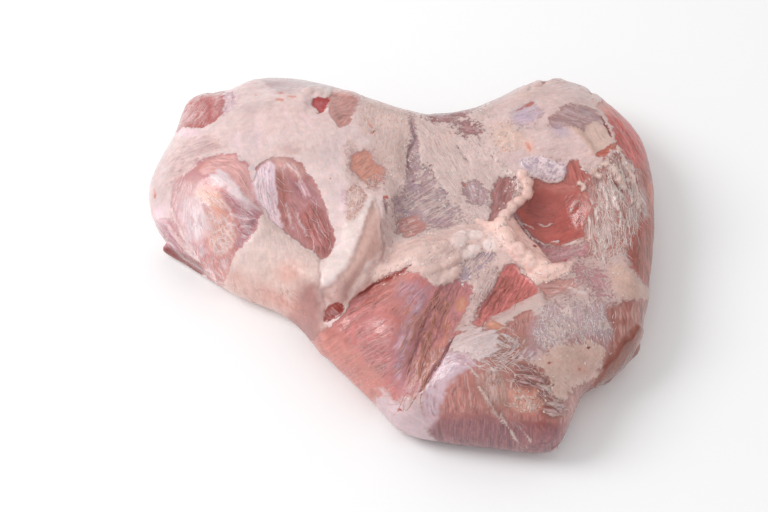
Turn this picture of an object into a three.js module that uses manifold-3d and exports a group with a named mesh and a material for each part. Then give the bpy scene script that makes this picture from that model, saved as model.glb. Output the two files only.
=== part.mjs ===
// A raw boneless ham: a skinless pork leg with its bones cut out, put down with its fat side up.
//
// Millimetres, +Z up. The origin is under the middle of the ham, on the surface that it lies on. +X runs
// towards the broad end with its open pocket, and +Y towards the back edge with its hollow.
//
// The body lies between two height fields over one outline. Its underside is flat where the weight of the
// meat rests, and turns up to the outline's widest line. From there the top rises over a rounded shoulder to
// the crowns of the muscles, with grooves between them, folds of fat, and the pocket that a bone left.

import * as THREE from "three";
import { ConvexGeometry } from "three/addons/geometries/ConvexGeometry.js";
import { mergeVertices } from "three/addons/utils/BufferGeometryUtils.js";
import Module from "manifold-3d";

// ---- Driving sizes, in millimetres ----

const BASE_HEIGHT = 53; // the meat between the crowns
const TUCK = 20; // how far the underside turns in below the widest line
const LEAN_COLOUR = 0xc98a84;
const MEAT_ROUGHNESS = 0.45;

// The outline seen from above, anticlockwise from the broad end. Each point has its place, the height of
// the widest line there, and the width over which the shoulder rises to full height.
const OUTLINE = [
  [208, -6, 28, 40],
  [215, 42, 32, 46],
  [216, 82, 34, 46],
  [212, 116, 34, 42],
  [194, 152, 32, 40],
  [166, 182, 30, 38],
  [136, 192, 30, 36],
  [104, 182, 30, 34],
  [79, 164, 28, 34],
  [56, 152, 26, 32],
  [30, 149, 24, 32],
  [4, 154, 26, 34],
  [-28, 169, 28, 36],
  [-58, 182, 30, 40],
  [-97, 194, 32, 40],
  [-128, 192, 34, 36],
  [-146, 180, 36, 30],
  [-176, 172, 40, 26],
  [-193, 160, 40, 26],
  [-199, 130, 38, 38],
  [-209, 98, 38, 52],
  [-217, 70, 40, 56],
  [-214, 38, 38, 56],
  [-200, 16, 34, 52],
  [-177, -4, 30, 48],
  [-144, -27, 24, 40],
  [-100, -50, 22, 36],
  [-80, -69, 20, 32],
  [-64, -93, 20, 36],
  [-42, -118, 20, 46],
  [-20, -144, 20, 46],
  [-4, -164, 20, 40],
  [22, -172, 20, 42],
  [70, -179, 20, 42],
  [104, -184, 22, 40],
  [119, -181, 24, 34],
  [129, -158, 26, 34],
  [142, -132, 26, 34],
  [172, -108, 26, 34],
  [189, -84, 28, 36],
  [200, -46, 28, 38],
];

// Crowns and sunk places of the top: the middle, the half length and half width, the turn in degrees, and
// how far it rises. A flat one keeps its height nearly out to its edge.
const SWELLS = [
  { name: "thick end", at: [-122, 66], half: [112, 84], turn: 20, rise: 36 },
  { name: "back of the fat", at: [-84, 122], half: [72, 44], turn: -5, rise: 12 },
  { name: "round muscle", at: [-158, 8], half: [40, 46], turn: 30, rise: 13 },
  { name: "bare muscle", at: [-88, 6], half: [52, 26], turn: -62, rise: -6, flat: true },
  { name: "front fold of fat", at: [-104, -42], half: [40, 22], turn: -20, rise: 14 },
  { name: "saddle", at: [22, 60], half: [44, 56], turn: 10, rise: -5 },
  { name: "dome", at: [136, 104], half: [72, 60], turn: -25, rise: 32 },
  { name: "dome's front lip", at: [150, 62], half: [44, 26], turn: -10, rise: 8 },
  { name: "pocket", at: [126, 24], half: [33, 42], turn: 14, rise: -12, flat: true },
  { name: "long muscle", at: [184, 14], half: [26, 90], turn: 4, rise: 16 },
  { name: "lumps of fat", at: [22, -28], half: [46, 24], turn: 28, rise: 14 },
  { name: "front muscle", at: [-12, -96], half: [58, 36], turn: 48, rise: 20 },
  { name: "front lobe", at: [78, -128], half: [58, 46], turn: 0, rise: 26 },
  { name: "right lobe", at: [146, -78], half: [44, 34], turn: 30, rise: 12 },
];

// Long features over the top: the points that each follows, how far it rises, and how far it spreads to the
// left and to the right of its own direction. One that spreads further on one side is a step or a lip.
const FOLDS = [
  {
    name: "edge of the fat",
    path: [[-12, 56], [-18, 20], [-30, -22], [-47, -59], [-58, -84]],
    rise: 11,
    left: 9,
    right: 46,
  },
  {
    name: "valley by the fat",
    path: [[4, 44], [-4, 6], [-16, -30], [-38, -66], [-52, -96]],
    rise: -8,
    left: 18,
    right: 9,
  },
  {
    name: "rope of fat",
    path: [[94, 68], [104, 50], [98, 32], [86, 14], [80, -4], [96, -22], [120, -36], [150, -46]],
    rise: 10,
    left: 9,
    right: 9,
  },
  {
    name: "edge of the front muscle",
    path: [[-46, -68], [-22, -57], [-2, -49], [10, -38]],
    rise: -6,
    left: 7,
    right: 7,
  },
  {
    name: "striped seam",
    path: [[44, -62], [30, -92], [14, -124], [2, -156]],
    rise: -8,
    left: 12,
    right: 12,
  },
  { name: "lean strip", path: [[98, -48], [78, -72], [60, -92]], rise: -7, left: 10, right: 12 },
  { name: "seam in the saddle", path: [[10, 116], [4, 84], [6, 56]], rise: -4, left: 7, right: 7 },
];

// Trimmed ends that stick out: rounded corners, each with its place and radius, and the skin between them.
const TRIM_ENDS = [
  {
    name: "tongue",
    corners: [[-152, -8, 9, 8], [-172, 30, 10, 8], [-192, 22, 8, 6], [-202, 24, 7, 4]],
  },
  {
    name: "cut flap",
    corners: [[160, -62, 18, 12], [146, -92, 14, 12], [158, -106, 13, 9], [180, -86, 20, 9]],
  },
];

const OUTLINE_STEPS = 8; // short lines to each point of the outline
const FOLD_STEPS = 24; // short lines along a fold
const RADIUS_STEPS = 720; // directions in which the outline's reach is worked out
const MESH_DETAIL = 22; // the sphere that is wrapped onto the ham has 20 (detail + 1)^2 triangles
const UNDERSIDE_SHARE = 0.3; // the underside's rings lie further apart than the top's
const SHOULDER_POWER = 2.2; // 2 is an ellipse, and more is squarer
const SHOULDER_SWELL = 20; // how far the crowns rise near the shoulder, for the spacing of the rings
const BALL_DETAIL = 3; // of the balls at a trimmed end's corners
const FOLD_TAPER = 0.6; // 1 tapers a fold evenly to its ends, and less keeps it full for longer

// ---- Curves and distances ----

// A smooth closed or open line through points, as a list of points close together.
function smoothLine(points, closed, steps) {
  const curve = new THREE.CatmullRomCurve3(
    points.map(([x, y]) => new THREE.Vector3(x, y, 0)),
    closed,
    "centripetal",
  );
  return curve.getPoints(steps);
}

// The outline as closely spaced points, each with its rim height and shoulder width.
function traceOutline(stepsPerPoint) {
  const places = smoothLine(OUTLINE, true, OUTLINE.length * stepsPerPoint);
  const sizes = new THREE.CatmullRomCurve3(
    OUTLINE.map(([, , rim, shoulder]) => new THREE.Vector3(rim, shoulder, 0)),
    true,
    "centripetal",
  );
  return places.slice(0, -1).map((place, i) => {
    const size = sizes.getPoint(i / (places.length - 1));
    return { x: place.x, y: place.y, rim: size.x, shoulder: size.y };
  });
}

const outline = traceOutline(OUTLINE_STEPS);

// The nearest place on a line of points: how far away it is, and where along the line.
function nearestOn(line, x, y, closed) {
  let best = { distance: Infinity, index: 0, share: 0 };
  const last = closed ? line.length : line.length - 1;
  for (let i = 0; i < last; i++) {
    const a = line[i];
    const b = line[(i + 1) % line.length];
    const [dx, dy] = [b.x - a.x, b.y - a.y];
    const along = ((x - a.x) * dx + (y - a.y) * dy) / (dx * dx + dy * dy);
    const share = THREE.MathUtils.clamp(along, 0, 1);
    const distance = Math.hypot(x - a.x - share * dx, y - a.y - share * dy);
    if (distance < best.distance) best = { distance, index: i, share };
  }
  return best;
}

// The outline's own sizes at its place nearest to a point, and the distance to it.
function edgeAt(x, y) {
  const { distance, index, share } = nearestOn(outline, x, y, true);
  const a = outline[index];
  const b = outline[(index + 1) % outline.length];
  return {
    distance,
    rim: THREE.MathUtils.lerp(a.rim, b.rim, share),
    shoulder: THREE.MathUtils.lerp(a.shoulder, b.shoulder, share),
  };
}

// The outline's radius from the origin in each direction, by a table of angles.
const radii = Array.from({ length: RADIUS_STEPS }, (_, k) => {
  const angle = (k / RADIUS_STEPS) * 2 * Math.PI;
  const [dx, dy] = [Math.cos(angle), Math.sin(angle)];
  let reach = 0;
  outline.forEach((a, i) => {
    const b = outline[(i + 1) % outline.length];
    const [ex, ey] = [b.x - a.x, b.y - a.y];
    const det = ex * dy - ey * dx;
    if (Math.abs(det) < 1e-12) return;
    const along = (ex * a.y - ey * a.x) / det;
    const share = (dx * a.y - dy * a.x) / det;
    if (share >= 0 && share <= 1 && along > reach) reach = along;
  });
  return reach;
});

function radiusAt(angle) {
  const turns = (angle / (2 * Math.PI) + 1) % 1;
  const at = turns * RADIUS_STEPS;
  const i = Math.floor(at);
  return THREE.MathUtils.lerp(radii[i % RADIUS_STEPS], radii[(i + 1) % RADIUS_STEPS], at - i);
}

// ---- Heights ----

// 1 at the middle of an oval, falling smoothly to 0 a little way beyond its edge.
function swellAt(x, y, { at: [cx, cy], half: [halfLength, halfWidth], turn, flat }) {
  const angle = THREE.MathUtils.degToRad(turn);
  const [dx, dy] = [x - cx, y - cy];
  const along = (dx * Math.cos(angle) + dy * Math.sin(angle)) / halfLength;
  const across = (dy * Math.cos(angle) - dx * Math.sin(angle)) / halfWidth;
  const outward = along * along + across * across;
  return Math.exp(-(flat ? outward * outward : outward));
}

const folds = FOLDS.map((fold) => ({ ...fold, line: smoothLine(fold.path, false, FOLD_STEPS) }));

// 1 along a fold's line, falling smoothly to each side over that side's own spread, tapered at both ends.
function foldAt(x, y, { line, left, right }) {
  const { distance, index, share } = nearestOn(line, x, y, false);
  const along = (index + share) / (line.length - 1);
  const taper = Math.sin(Math.PI * THREE.MathUtils.clamp(along, 0, 1)) ** FOLD_TAPER;
  const [a, b] = [line[index], line[index + 1]];
  const onLeft = (b.x - a.x) * (y - a.y) - (b.y - a.y) * (x - a.x) > 0;
  return taper * Math.exp(-((distance / (onLeft ? left : right)) ** 2));
}

// The full height of the meat, before the shoulder rounds it off at the edge.
function crownHeight(x, y) {
  let height = BASE_HEIGHT;
  for (const swell of SWELLS) height += swell.rise * swellAt(x, y, swell);
  for (const fold of folds) height += fold.rise * foldAt(x, y, fold);
  return height;
}

function topHeight(x, y) {
  const { distance, rim, shoulder } = edgeAt(x, y);
  const inward = 1 - Math.min(1, distance / shoulder);
  const rise = (1 - inward ** SHOULDER_POWER) ** (1 / SHOULDER_POWER);
  return rim + (crownHeight(x, y) - rim) * rise;
}

function undersideHeight(x, y) {
  const { distance, rim } = edgeAt(x, y);
  const inward = 1 - Math.min(1, distance / TUCK);
  return rim * (1 - Math.sqrt(1 - inward * inward));
}

// ---- The body ----

// A direction from the sphere becomes a place on the ham: rings go from the crown out over the shoulder to
// the widest line, then in under the ham, spaced evenly along that section.
function placeOnHam(direction) {
  const angle = Math.atan2(direction.y, direction.x);
  const reach = radiusAt(angle);
  const { rim, shoulder } = edgeAt(reach * Math.cos(angle), reach * Math.sin(angle));
  const rise = BASE_HEIGHT + SHOULDER_SWELL - rim;
  const overTop = reach - shoulder;
  const overShoulder = (Math.PI / 2) * Math.hypot(shoulder, rise) * Math.SQRT1_2;
  const overTuck = (Math.PI / 2) * Math.hypot(TUCK, rim) * Math.SQRT1_2;
  const overFloor = (reach - TUCK) * UNDERSIDE_SHARE;
  const whole = overTop + overShoulder + overTuck + overFloor;
  let left = (Math.acos(THREE.MathUtils.clamp(direction.z, -1, 1)) / Math.PI) * whole;
  const at = (radius, heightOf) => {
    const [x, y] = [radius * Math.cos(angle), radius * Math.sin(angle)];
    return new THREE.Vector3(x, y, heightOf(x, y));
  };
  if (left < overTop) return at(left, topHeight);
  left -= overTop;
  if (left < overShoulder) {
    const bend = (left / overShoulder) * (Math.PI / 2);
    return at(overTop + shoulder * Math.sin(bend), topHeight);
  }
  left -= overShoulder;
  if (left < overTuck) {
    const bend = (left / overTuck) * (Math.PI / 2);
    return at(reach - TUCK + TUCK * Math.cos(bend), undersideHeight);
  }
  left -= overTuck;
  return at((reach - TUCK) * (1 - left / overFloor), undersideHeight);
}

function closedGeometry(geometry) {
  geometry.deleteAttribute("normal");
  geometry.deleteAttribute("uv");
  return mergeVertices(geometry, 1e-4);
}

function makeBody() {
  const geometry = closedGeometry(new THREE.IcosahedronGeometry(1, MESH_DETAIL));
  const position = geometry.getAttribute("position");
  for (let i = 0; i < position.count; i++) {
    const direction = new THREE.Vector3().fromBufferAttribute(position, i).normalize();
    const place = placeOnHam(direction);
    position.setXYZ(i, place.x, place.y, place.z);
  }
  return geometry;
}

// ---- The part ----

const wasm = await Module();
wasm.setup();

function solidFrom(geometry) {
  return new wasm.Manifold(
    new wasm.Mesh({
      numProp: 3,
      vertProperties: geometry.getAttribute("position").array,
      triVerts: new Uint32Array(geometry.index.array),
    }),
  );
}

function geometryFrom(solid) {
  const mesh = solid.getMesh();
  return new THREE.BufferGeometry()
    .setAttribute("position", new THREE.BufferAttribute(mesh.vertProperties, 3))
    .setIndex(new THREE.BufferAttribute(mesh.triVerts, 1));
}

// A trimmed end is the skin round balls at its corners.
function makeTrimEnd({ corners }) {
  const points = corners.flatMap(([x, y, z, radius]) => {
    const ball = new THREE.IcosahedronGeometry(radius, BALL_DETAIL).translate(x, y, z);
    const place = ball.getAttribute("position");
    return Array.from({ length: place.count }, (_, i) => new THREE.Vector3().fromBufferAttribute(place, i));
  });
  return solidFrom(closedGeometry(new ConvexGeometry(points)));
}

// The outline's points are read from a mark near its middle. The finished ham is moved so that the middle of
// its box is over the origin.
function centred(solid) {
  const { min, max } = solid.boundingBox();
  return solid.translate([-(min[0] + max[0]) / 2, -(min[1] + max[1]) / 2, 0]);
}

let body = solidFrom(makeBody());
for (const end of TRIM_ENDS) body = body.add(makeTrimEnd(end));

const ham = new THREE.Mesh(
  geometryFrom(centred(body)),
  new THREE.MeshStandardMaterial({ color: LEAN_COLOUR, roughness: MEAT_ROUGHNESS, metalness: 0 }),
);
ham.name = "ham";

const part = new THREE.Group();
part.add(ham);

export default part;
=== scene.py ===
"""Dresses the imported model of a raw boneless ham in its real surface, on a plain white stage.

The ham's form comes from the frame. Its surface is cut finely, and each area that the photograph shows
(lean, fat, silverskin or torn membrane) is laid on it from the camera's place, then shaped and coloured in
the mesh. Strands of membrane and crumbs of torn fat then lie on it.
Sizes are in millimetres where a name says so, and in metres in the finished meshes.
"""

import math

import bmesh
import bpy
import numpy as np
from bpy.props import FloatProperty, FloatVectorProperty, IntProperty, PointerProperty
from bpy.types import Operator, Panel, PropertyGroup
from mathutils import Matrix, Vector
from mathutils.kdtree import KDTree


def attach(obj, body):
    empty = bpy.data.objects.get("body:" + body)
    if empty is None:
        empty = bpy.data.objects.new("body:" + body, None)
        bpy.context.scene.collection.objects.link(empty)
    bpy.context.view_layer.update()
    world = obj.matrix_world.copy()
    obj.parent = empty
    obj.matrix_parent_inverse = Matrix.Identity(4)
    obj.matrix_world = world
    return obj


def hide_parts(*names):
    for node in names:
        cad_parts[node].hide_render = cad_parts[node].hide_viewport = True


bl_info = {
    "name": "Raw boneless ham",
    "version": (1, 0, 0),
    "blender": (4, 5, 0),
    "location": "View3D > Sidebar > Ham",
    "description": "Dresses a packed ham in lean, fat, silverskin and torn membrane, on a white stage",
    "category": "Add Mesh",
}

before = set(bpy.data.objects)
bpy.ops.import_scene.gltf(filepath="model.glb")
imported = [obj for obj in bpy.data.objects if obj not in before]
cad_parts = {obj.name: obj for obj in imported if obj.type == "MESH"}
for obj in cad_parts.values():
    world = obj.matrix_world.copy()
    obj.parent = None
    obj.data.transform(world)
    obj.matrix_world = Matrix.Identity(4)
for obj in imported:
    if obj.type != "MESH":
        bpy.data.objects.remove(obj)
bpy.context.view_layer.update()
MM = 0.001

# ---- The camera, which is also where the photograph's outlines are laid on from ----

PHOTO_SIZE = (768, 512)
LENS_MM = 70
SENSOR_MM = 36
LOOK_DOWN = math.radians(52)
CAMERA_DISTANCE = 1.240
LOOK_AT = np.array((-0.0155, -0.0133, 0.038))
LOOK = np.array((0, math.cos(LOOK_DOWN), -math.sin(LOOK_DOWN)))
LOOK_UP = np.array((0, math.sin(LOOK_DOWN), math.cos(LOOK_DOWN)))
CAMERA_PLACE = LOOK_AT - CAMERA_DISTANCE * LOOK
FOCAL_PIXELS = LENS_MM / SENSOR_MM * PHOTO_SIZE[0]
MM_PER_PIXEL = CAMERA_DISTANCE / MM / FOCAL_PIXELS


def linear(shade):
    """A colour written as six hex digits, in the linear values that Blender's sockets hold."""
    levels = [int(shade[i : i + 2], 16) / 255 for i in (0, 2, 4)]
    return tuple(v / 12.92 if v <= 0.04045 else ((v + 0.055) / 1.055) ** 2.4 for v in levels)


# ---- The ham's surface as the photograph shows it ----

# What a kind of surface is like: how much fat or membrane covers the lean, how torn that cover is, the
# strength of muscle fibres and of fat lobules, how wet it shines, how far white lines crackle it, how far red
# stains it, and how far a second tint is streaked in.
KINDS = {
    "lean": dict(cover=0.0, torn=0.2, fibre=1.0, lobules=0.0, gloss=0.5, crackle=0.0, stain=0.0, mixed=0.3),
    "silver": dict(cover=0.0, torn=0.2, fibre=0.8, lobules=0.0, gloss=0.9, crackle=0.1, stain=0.0, mixed=0.5),
    "film": dict(cover=0.5, torn=0.7, fibre=0.5, lobules=0.4, gloss=0.6, crackle=0.0, stain=0.1, mixed=0.3),
    "fat": dict(cover=1.0, torn=0.2, fibre=0.1, lobules=1.0, gloss=0.3, crackle=0.0, stain=0.1, mixed=0.0),
}

# Each patch is an outline in the photograph's pixels, painted over the ones before it. `soft` is half the
# width of its edge in pixels, and `fringe` how far its edge frays along the fibres. `lift` raises or sinks it
# in millimetres over a `bevel` in pixels, and `bulge` raises its middle. `grain` is the way its fibres run:
# at an angle in degrees, as a fan from a point, or as rings round a point.
PATCHES = [
    ("sheet of fat", "fat", dict(fat="cream", soft=6, lobules=0.4, fibre=0.15, grain=70),
     "120,190 150,120 195,75 250,45 320,45 370,65 405,95 412,150 408,185 388,200 380,230 372,262 "
     "345,297 330,350 290,360 240,330 180,310 130,280 115,230"),
    ("back of the left end", "film", dict(fat="cream_pink", lean="plum_pale", soft=6, torn=0.2, fibre=1.0,
     fringe=4, grain=-20),
     "166,168 171,152 184,140 204,135 219,138 221,147 208,153 196,163 184,176 172,190"),
    ("left end", "lean", dict(lean="plum_pink", other="silver_blue", mixed=0.6, soft=3, fringe=2,
     fibre=0.8, grain=48),
     "150,222 158,220 166,218 174,224 182,236 190,247 198,258 203,266 190,262 176,256 164,252 152,240"),
    ("round muscle", "lean", dict(lean="globe_pink", mixed=0.7, soft=3, fringe=1.5, fibre=0.9, gloss=0.9,
     bulge=1.0, grain=("fan", (190, 165))),
     "178,180 190,170 203,161 218,155 232,154 243,160 250,174 255,190 259,205 261,217 254,231 244,246 "
     "235,263 228,284 220,290 211,284 200,266 189,252 179,240 173,226 171,208 173,192"),
    ("top of the round muscle", "lean", dict(lean="salmon_light", other="salmon", mixed=0.7, soft=1.6,
     fibre=0.8, lift=-0.3, fringe=1, grain=("ring", (212, 205))),
     "200,169 206,164 212,160 220,156 230,154 238,158 245,166 250,177 253,187 256,200 250,203 243,196 "
     "236,186 226,178 214,174 204,174"),
    ("silver streak", "silver", dict(lean="silver_white", other="silver_blue", soft=2.5, fringe=3.5,
     lift=0.6, grain=38),
     "208,176 216,173 226,176 236,184 243,195 251,203 260,208 260,213 250,212 242,207 232,198 222,188 "
     "213,183"),
    ("orange fibres", "lean", dict(lean="orange_light", mixed=0.7, soft=5, fringe=4,
     grain=("fan", (188, 176))),
     "197,190 208,187 219,193 228,204 226,213 214,210 204,204 197,198"),
    ("crackled muscle", "silver", dict(lean="globe_orange", soft=7, crackle=0.9, gloss=0.8, fibre=0.5,
     grain=("fan", (190, 165))),
     "204,212 218,208 232,216 238,230 237,246 226,256 213,252 204,236"),
    ("plum side of the round muscle", "lean", dict(lean="plum", mixed=0.55, soft=3, fringe=2, fibre=1.1,
     gloss=0.7, grain=30),
     "222,194 232,199 246,207 260,212 261,218 256,229 247,241 240,251 235,246 241,232 237,218 228,206"),
    ("foot of the round muscle", "lean", dict(lean="pink", mixed=0.6, soft=5, fringe=3, fibre=0.9,
     gloss=0.8, grain=("fan", (185, 165))),
     "206,254 222,256 238,250 242,252 234,266 227,286 217,292 208,278 202,264"),
    # A white sheen where the round muscle faces the key light: painted sheen over its silverskin.
    ("painted sheen on the round muscle", "silver", dict(lean="silver_white", other="globe_pink", mixed=0.4,
     soft=9, fibre=0.5, gloss=1.0, fringe=3, grain=("fan", (190, 165))),
     "182,200 194,196 203,202 208,214 208,230 200,242 190,238 182,222"),
    ("bare muscle", "lean", dict(lean="rose", other="plum_rose", mixed=0.7, soft=1.6, lift=-0.3, bulge=1.6,
     gloss=0.7, fringe=0.6, grain=62),
     "255,170 258,165 265,161 273,158 284,157 294,159 302,163 306,170 312,178 318,187 324,198 328,210 "
     "331,224 334,238 333,250 329,258 324,261 317,258 303,248 291,238 279,228 266,212 257,193"),
    ("top of the bare muscle", "lean", dict(lean="salmon", mixed=0.6, soft=3, gloss=0.7, fringe=3,
     grain=52),
     "277,160 290,160 301,166 305,176 298,178 288,172 280,180 274,176"),
    ("plum of the bare muscle", "lean", dict(lean="plum_rose", other="silver_blue", mixed=0.5, soft=5,
     gloss=0.7, fringe=3, grain=58),
     "288,180 300,178 310,186 316,198 308,202 297,196"),
    ("red of the bare muscle", "lean", dict(lean="brick", other="rose", mixed=0.6, soft=3, gloss=0.7,
     fringe=2, grain=74),
     "277,172 284,182 287,200 289,222 283,230 279,212 277,190"),
    ("foot of the bare muscle", "lean", dict(lean="brown_pink", other="rose", mixed=0.5, soft=4, fringe=3,
     fibre=1.2, gloss=0.6, grain=66),
     "300,215 313,206 323,210 331,228 333,246 325,258 316,254 305,240"),
    ("silverskin on the bare muscle", "silver", dict(lean="silver_blue", other="plum_pale", mixed=0.3,
     soft=1.8, lift=0.5, fibre=1.2, fringe=1, grain=80),
     "255,173 262,165 270,161 275,168 276,185 278,203 282,222 281,230 270,219 260,203 255,188"),
    ("front fold of fat", "fat", dict(fat="fold", soft=1.8, lift=1.8, bevel=5, fibre=0.4, grain=80),
     "261,215 276,228 291,239 305,249 318,258 321,272 322,300 330,350 300,370 250,345 215,320 205,300 "
     "225,284 230,267 238,252 249,239 258,227"),
    # Darker brownish fat on the fold's lower side, turned away from the light: painted shade.
    ("shade side of the fold", "fat", dict(fat="tip", soft=9, lobules=0.5, fibre=0.3, grain=80),
     "300,288 312,282 321,288 326,330 340,360 300,360 285,330 292,306"),
    # The flap's left face, whiter than the fat round it: partly whiter fat, partly painted light where it
    # faces the key light.
    ("bright side of the flap", "fat", dict(fat="white_fat", soft=1.6, lift=1.4, bevel=4, lobules=0.2),
     "320,264 330,256 338,245 344,226 351,206 366,192 374,200 371,210 359,241 349,264 336,278 323,288 "
     "321,276"),
    ("cut edge of the flap", "fat", dict(fat="beige", soft=1.5, lift=-1.0, lobules=0.1, gloss=0.15,
     torn=0),
     "374,200 378,214 381,230 378,256 365,265 357,279 351,298 342,304 328,303 322,291 336,279 349,264 "
     "359,241 369,208"),
    ("foot of the cut edge", "fat", dict(fat="beige_dark", soft=7, lobules=0.1, gloss=0.15, torn=0),
     "326,292 340,282 354,272 362,272 356,288 348,302 334,308 323,299"),
    ("window at the foot of the flap", "lean", dict(lean="red_brown", soft=1.6, lift=-1.4, fibre=0.6,
     gloss=0.7, grain=40),
     "325,308 334,303 344,304 345,311 336,318 327,322 324,315"),
    ("salmon window", "lean", dict(lean="salmon_dusky", other="salmon", mixed=0.6, soft=1.6, lift=-0.4,
     fibre=0.9, fringe=1.5, grain=-25),
     "329,92 336,84 346,74 358,78 368,86 374,98 370,102 361,104 355,112 351,120 349,126 341,127 336,121 "
     "331,116 329,109 328,101"),
    ("dusky top", "film", dict(fat="grey_film_and_shadow", lean="plum_pale", soft=4, cover=0.55, torn=0.3, fringe=2,
     grain=4),
     "263,60 330,58 330,86 312,90 298,89 278,91 266,86"),
    ("rim under the trimmed end", "fat", dict(fat="silver_blue", soft=2.5, lobules=0.1, gloss=0.6),
     "178,126 186,129 198,130 198,134 188,137 179,136"),
    ("trimmed end", "lean", dict(lean="coral_dark", mixed=0.35, soft=1.4, lift=0.8, fibre=0.4,
     crackle=0.35, gloss=0.6, grain=-50),
     "176,132 180,118 184,106 189,96 196,86 216,84 224,90 226,104 222,114 218,121 210,125 198,129 "
     "186,128"),
    ("bright half of the trimmed end", "lean", dict(lean="coral", soft=2.5, fibre=0.4, crackle=0.3,
     gloss=0.6, grain=-70),
     "208,96 218,94 224,98 224,106 220,116 214,121 209,120 210,108"),
    ("shade side of the trimmed end", "film", dict(fat="silver_blue", lean="plum_pink", soft=2.5,
     cover=0.55, torn=0.5, fibre=1, fringe=2, grain=110),
     "223,92 232,90 237,96 235,104 228,112 222,118 224,106"),
    ("film round the orange window", "film", dict(fat="cream_dull", lean="plum_pale", soft=5, cover=0.6,
     torn=0.3, fringe=2, grain=60),
     "345,142 352,138 360,147 376,146 388,158 389,176 380,190 368,192 352,186 345,168"),
    ("orange window", "lean", dict(lean="orange", other="orange_light", mixed=0.5, soft=1.6, lift=-0.5,
     fibre=0.8, crackle=0.1, grain=146),
     "351,160 354,155 360,152 366,152 372,157 378,165 383,169 382,177 377,183 370,185 365,181 359,176 "
     "352,169"),
    ("foot of the orange window", "film", dict(fat="cream_dull", lean="orange", soft=3, cover=0.4,
     torn=0.9, crackle=0.6, fibre=0.4, grain=100),
     "366,178 378,172 383,174 380,183 372,187 366,184"),
    ("mottled window", "film", dict(fat="cream_dull", lean="salmon_dusky", soft=3, torn=0.5, lift=-0.5,
     crackle=0.4, grain=100),
     "343,192 349,187 357,186 365,191 367,197 364,205 359,216 353,221 346,222 342,208"),
    ("torn middle", "film", dict(fat="centre", lean="dusky", soft=5, cover=0.84, torn=0.8, lobules=0.6,
     fringe=3, stain=0.25, fibre=0.6, grain=58),
     "408,88 470,78 500,88 520,120 528,160 520,180 514,205 505,232 480,246 440,264 400,264 384,252 "
     "384,205 402,185 409,150"),
    ("thin fat by the seam", "fat", dict(fat="cream_dull", soft=6, lobules=0.4, torn=0.6, cover=0.86,
     stain=0.3, lean="plum_pale", fibre=0.4, fringe=3, grain=100),
     "366,96 400,98 411,112 409,130 407,150 407,176 398,186 388,198 382,188 384,160 372,140 360,126 "
     "358,108"),
    ("gap by the seam", "film", dict(fat="centre", lean="dusky", soft=2.5, cover=0.3, torn=0.9, lift=-0.8,
     fibre=0.2),
     "410,118 416,122 419,150 422,180 413,188 407,168 408,150 413,138"),
    ("dusky hollow", "film", dict(fat="centre", lean="dusky", soft=8, cover=0.42, torn=0.55, lift=-0.8,
     fibre=0.9, fringe=6, gloss=0.8, other="silver_violet", mixed=0.5, grain=150),
     "393,204 402,188 414,168 428,166 436,180 446,184 456,198 462,220 448,233 430,227 410,233 396,223"),
    ("brown window", "lean", dict(lean="brown", mixed=0.4, soft=3.5, lift=-0.4, fibre=0.8, fringe=3,
     cover=0.08, grain=160),
     "398,222 408,217 421,219 425,229 415,236 404,236 398,230"),
    ("torn sheet", "fat", dict(fat="centre", soft=2.2, torn=0.6, lift=1.1, lobules=0.4, fibre=1.0,
     fringe=3, stain=0.2, grain=58),
     "419,116 440,126 462,136 476,158 482,178 476,190 467,182 459,172 462,190 455,202 446,193 436,182 "
     "432,168 424,160 420,140"),
    ("dusky back edge", "film", dict(fat="centre", lean="dusky_pink", soft=3, cover=0.25, torn=0.5,
     fibre=1, fringe=4, grain=10),
     "414,84 470,82 480,106 466,116 446,121 430,119 418,112"),
    ("dusky window by the back", "film", dict(fat="centre", lean="dusky_pink", soft=5, cover=0.35,
     fibre=0.8, fringe=3, grain=15),
     "455,124 468,120 482,123 482,135 472,138 459,134"),
    ("dusky window in the middle", "film", dict(fat="centre", lean="dusky", soft=3.5, cover=0.22,
     lift=-0.6, fibre=0.8, fringe=3, grain=75),
     "463,186 474,180 484,183 488,194 485,204 474,205 466,200"),
    ("dusky lean by the rope", "lean", dict(lean="dusky_red", other="dusky", mixed=0.7, soft=2.5,
     lift=-1.0, fibre=0.9, fringe=2, cover=0.06, grain=112),
     "495,182 506,175 515,179 514,190 509,203 500,212 492,222 488,217 492,204"),
    ("membrane over the dome", "fat", dict(fat="dome_fat", soft=4, torn=0.5, lobules=0.4, stain=0.15,
     fringe=3, fibre=0.5, grain=-12),
     "496,60 550,40 600,45 625,95 624,130 616,150 600,160 590,172 575,162 566,168 552,158 531,160 "
     "520,171 508,168 497,150 492,120"),
    ("peach crumbs", "fat", dict(fat="peach", soft=6, torn=0.8, cover=0.95, lobules=1.2, stain=0.35,
     lumps=0.3),
     "492,128 505,124 520,130 524,142 514,150 498,148"),
    ("bluish window on the dome", "film", dict(fat="centre", lean="silver_violet", soft=6, cover=0.4,
     torn=0.4, fibre=0.6, fringe=3, grain=-20),
     "510,114 520,108 536,103 542,112 536,124 524,128 513,126"),
    ("dusky window on the dome", "film", dict(fat="tan", lean="dusky_mauve", soft=3.5, cover=0.22,
     torn=0.4, fibre=0.6, fringe=2, grain=20),
     "550,118 559,109 573,105 591,109 600,117 608,128 610,140 602,146 592,142 584,134 576,128 566,126 "
     "555,128"),
    ("cream window on the dome", "fat", dict(fat="tan_light", soft=5, lift=-0.8, lobules=0.2, fibre=0.5,
     grain=50),
     "586,128 598,122 608,128 612,137 610,145 601,151 592,147 587,138"),
    ("lumpy membrane", "film", dict(fat="silver_white", lean="silver_violet", soft=1.8, cover=0.6,
     torn=0.5, gloss=1.0, lift=1.0, lobules=1.0, fibre=0.6, fringe=1, grain=("ring", (548, 150))),
     "521,160 534,156 550,159 562,165 567,174 560,181 547,180 534,177 524,172"),
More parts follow.
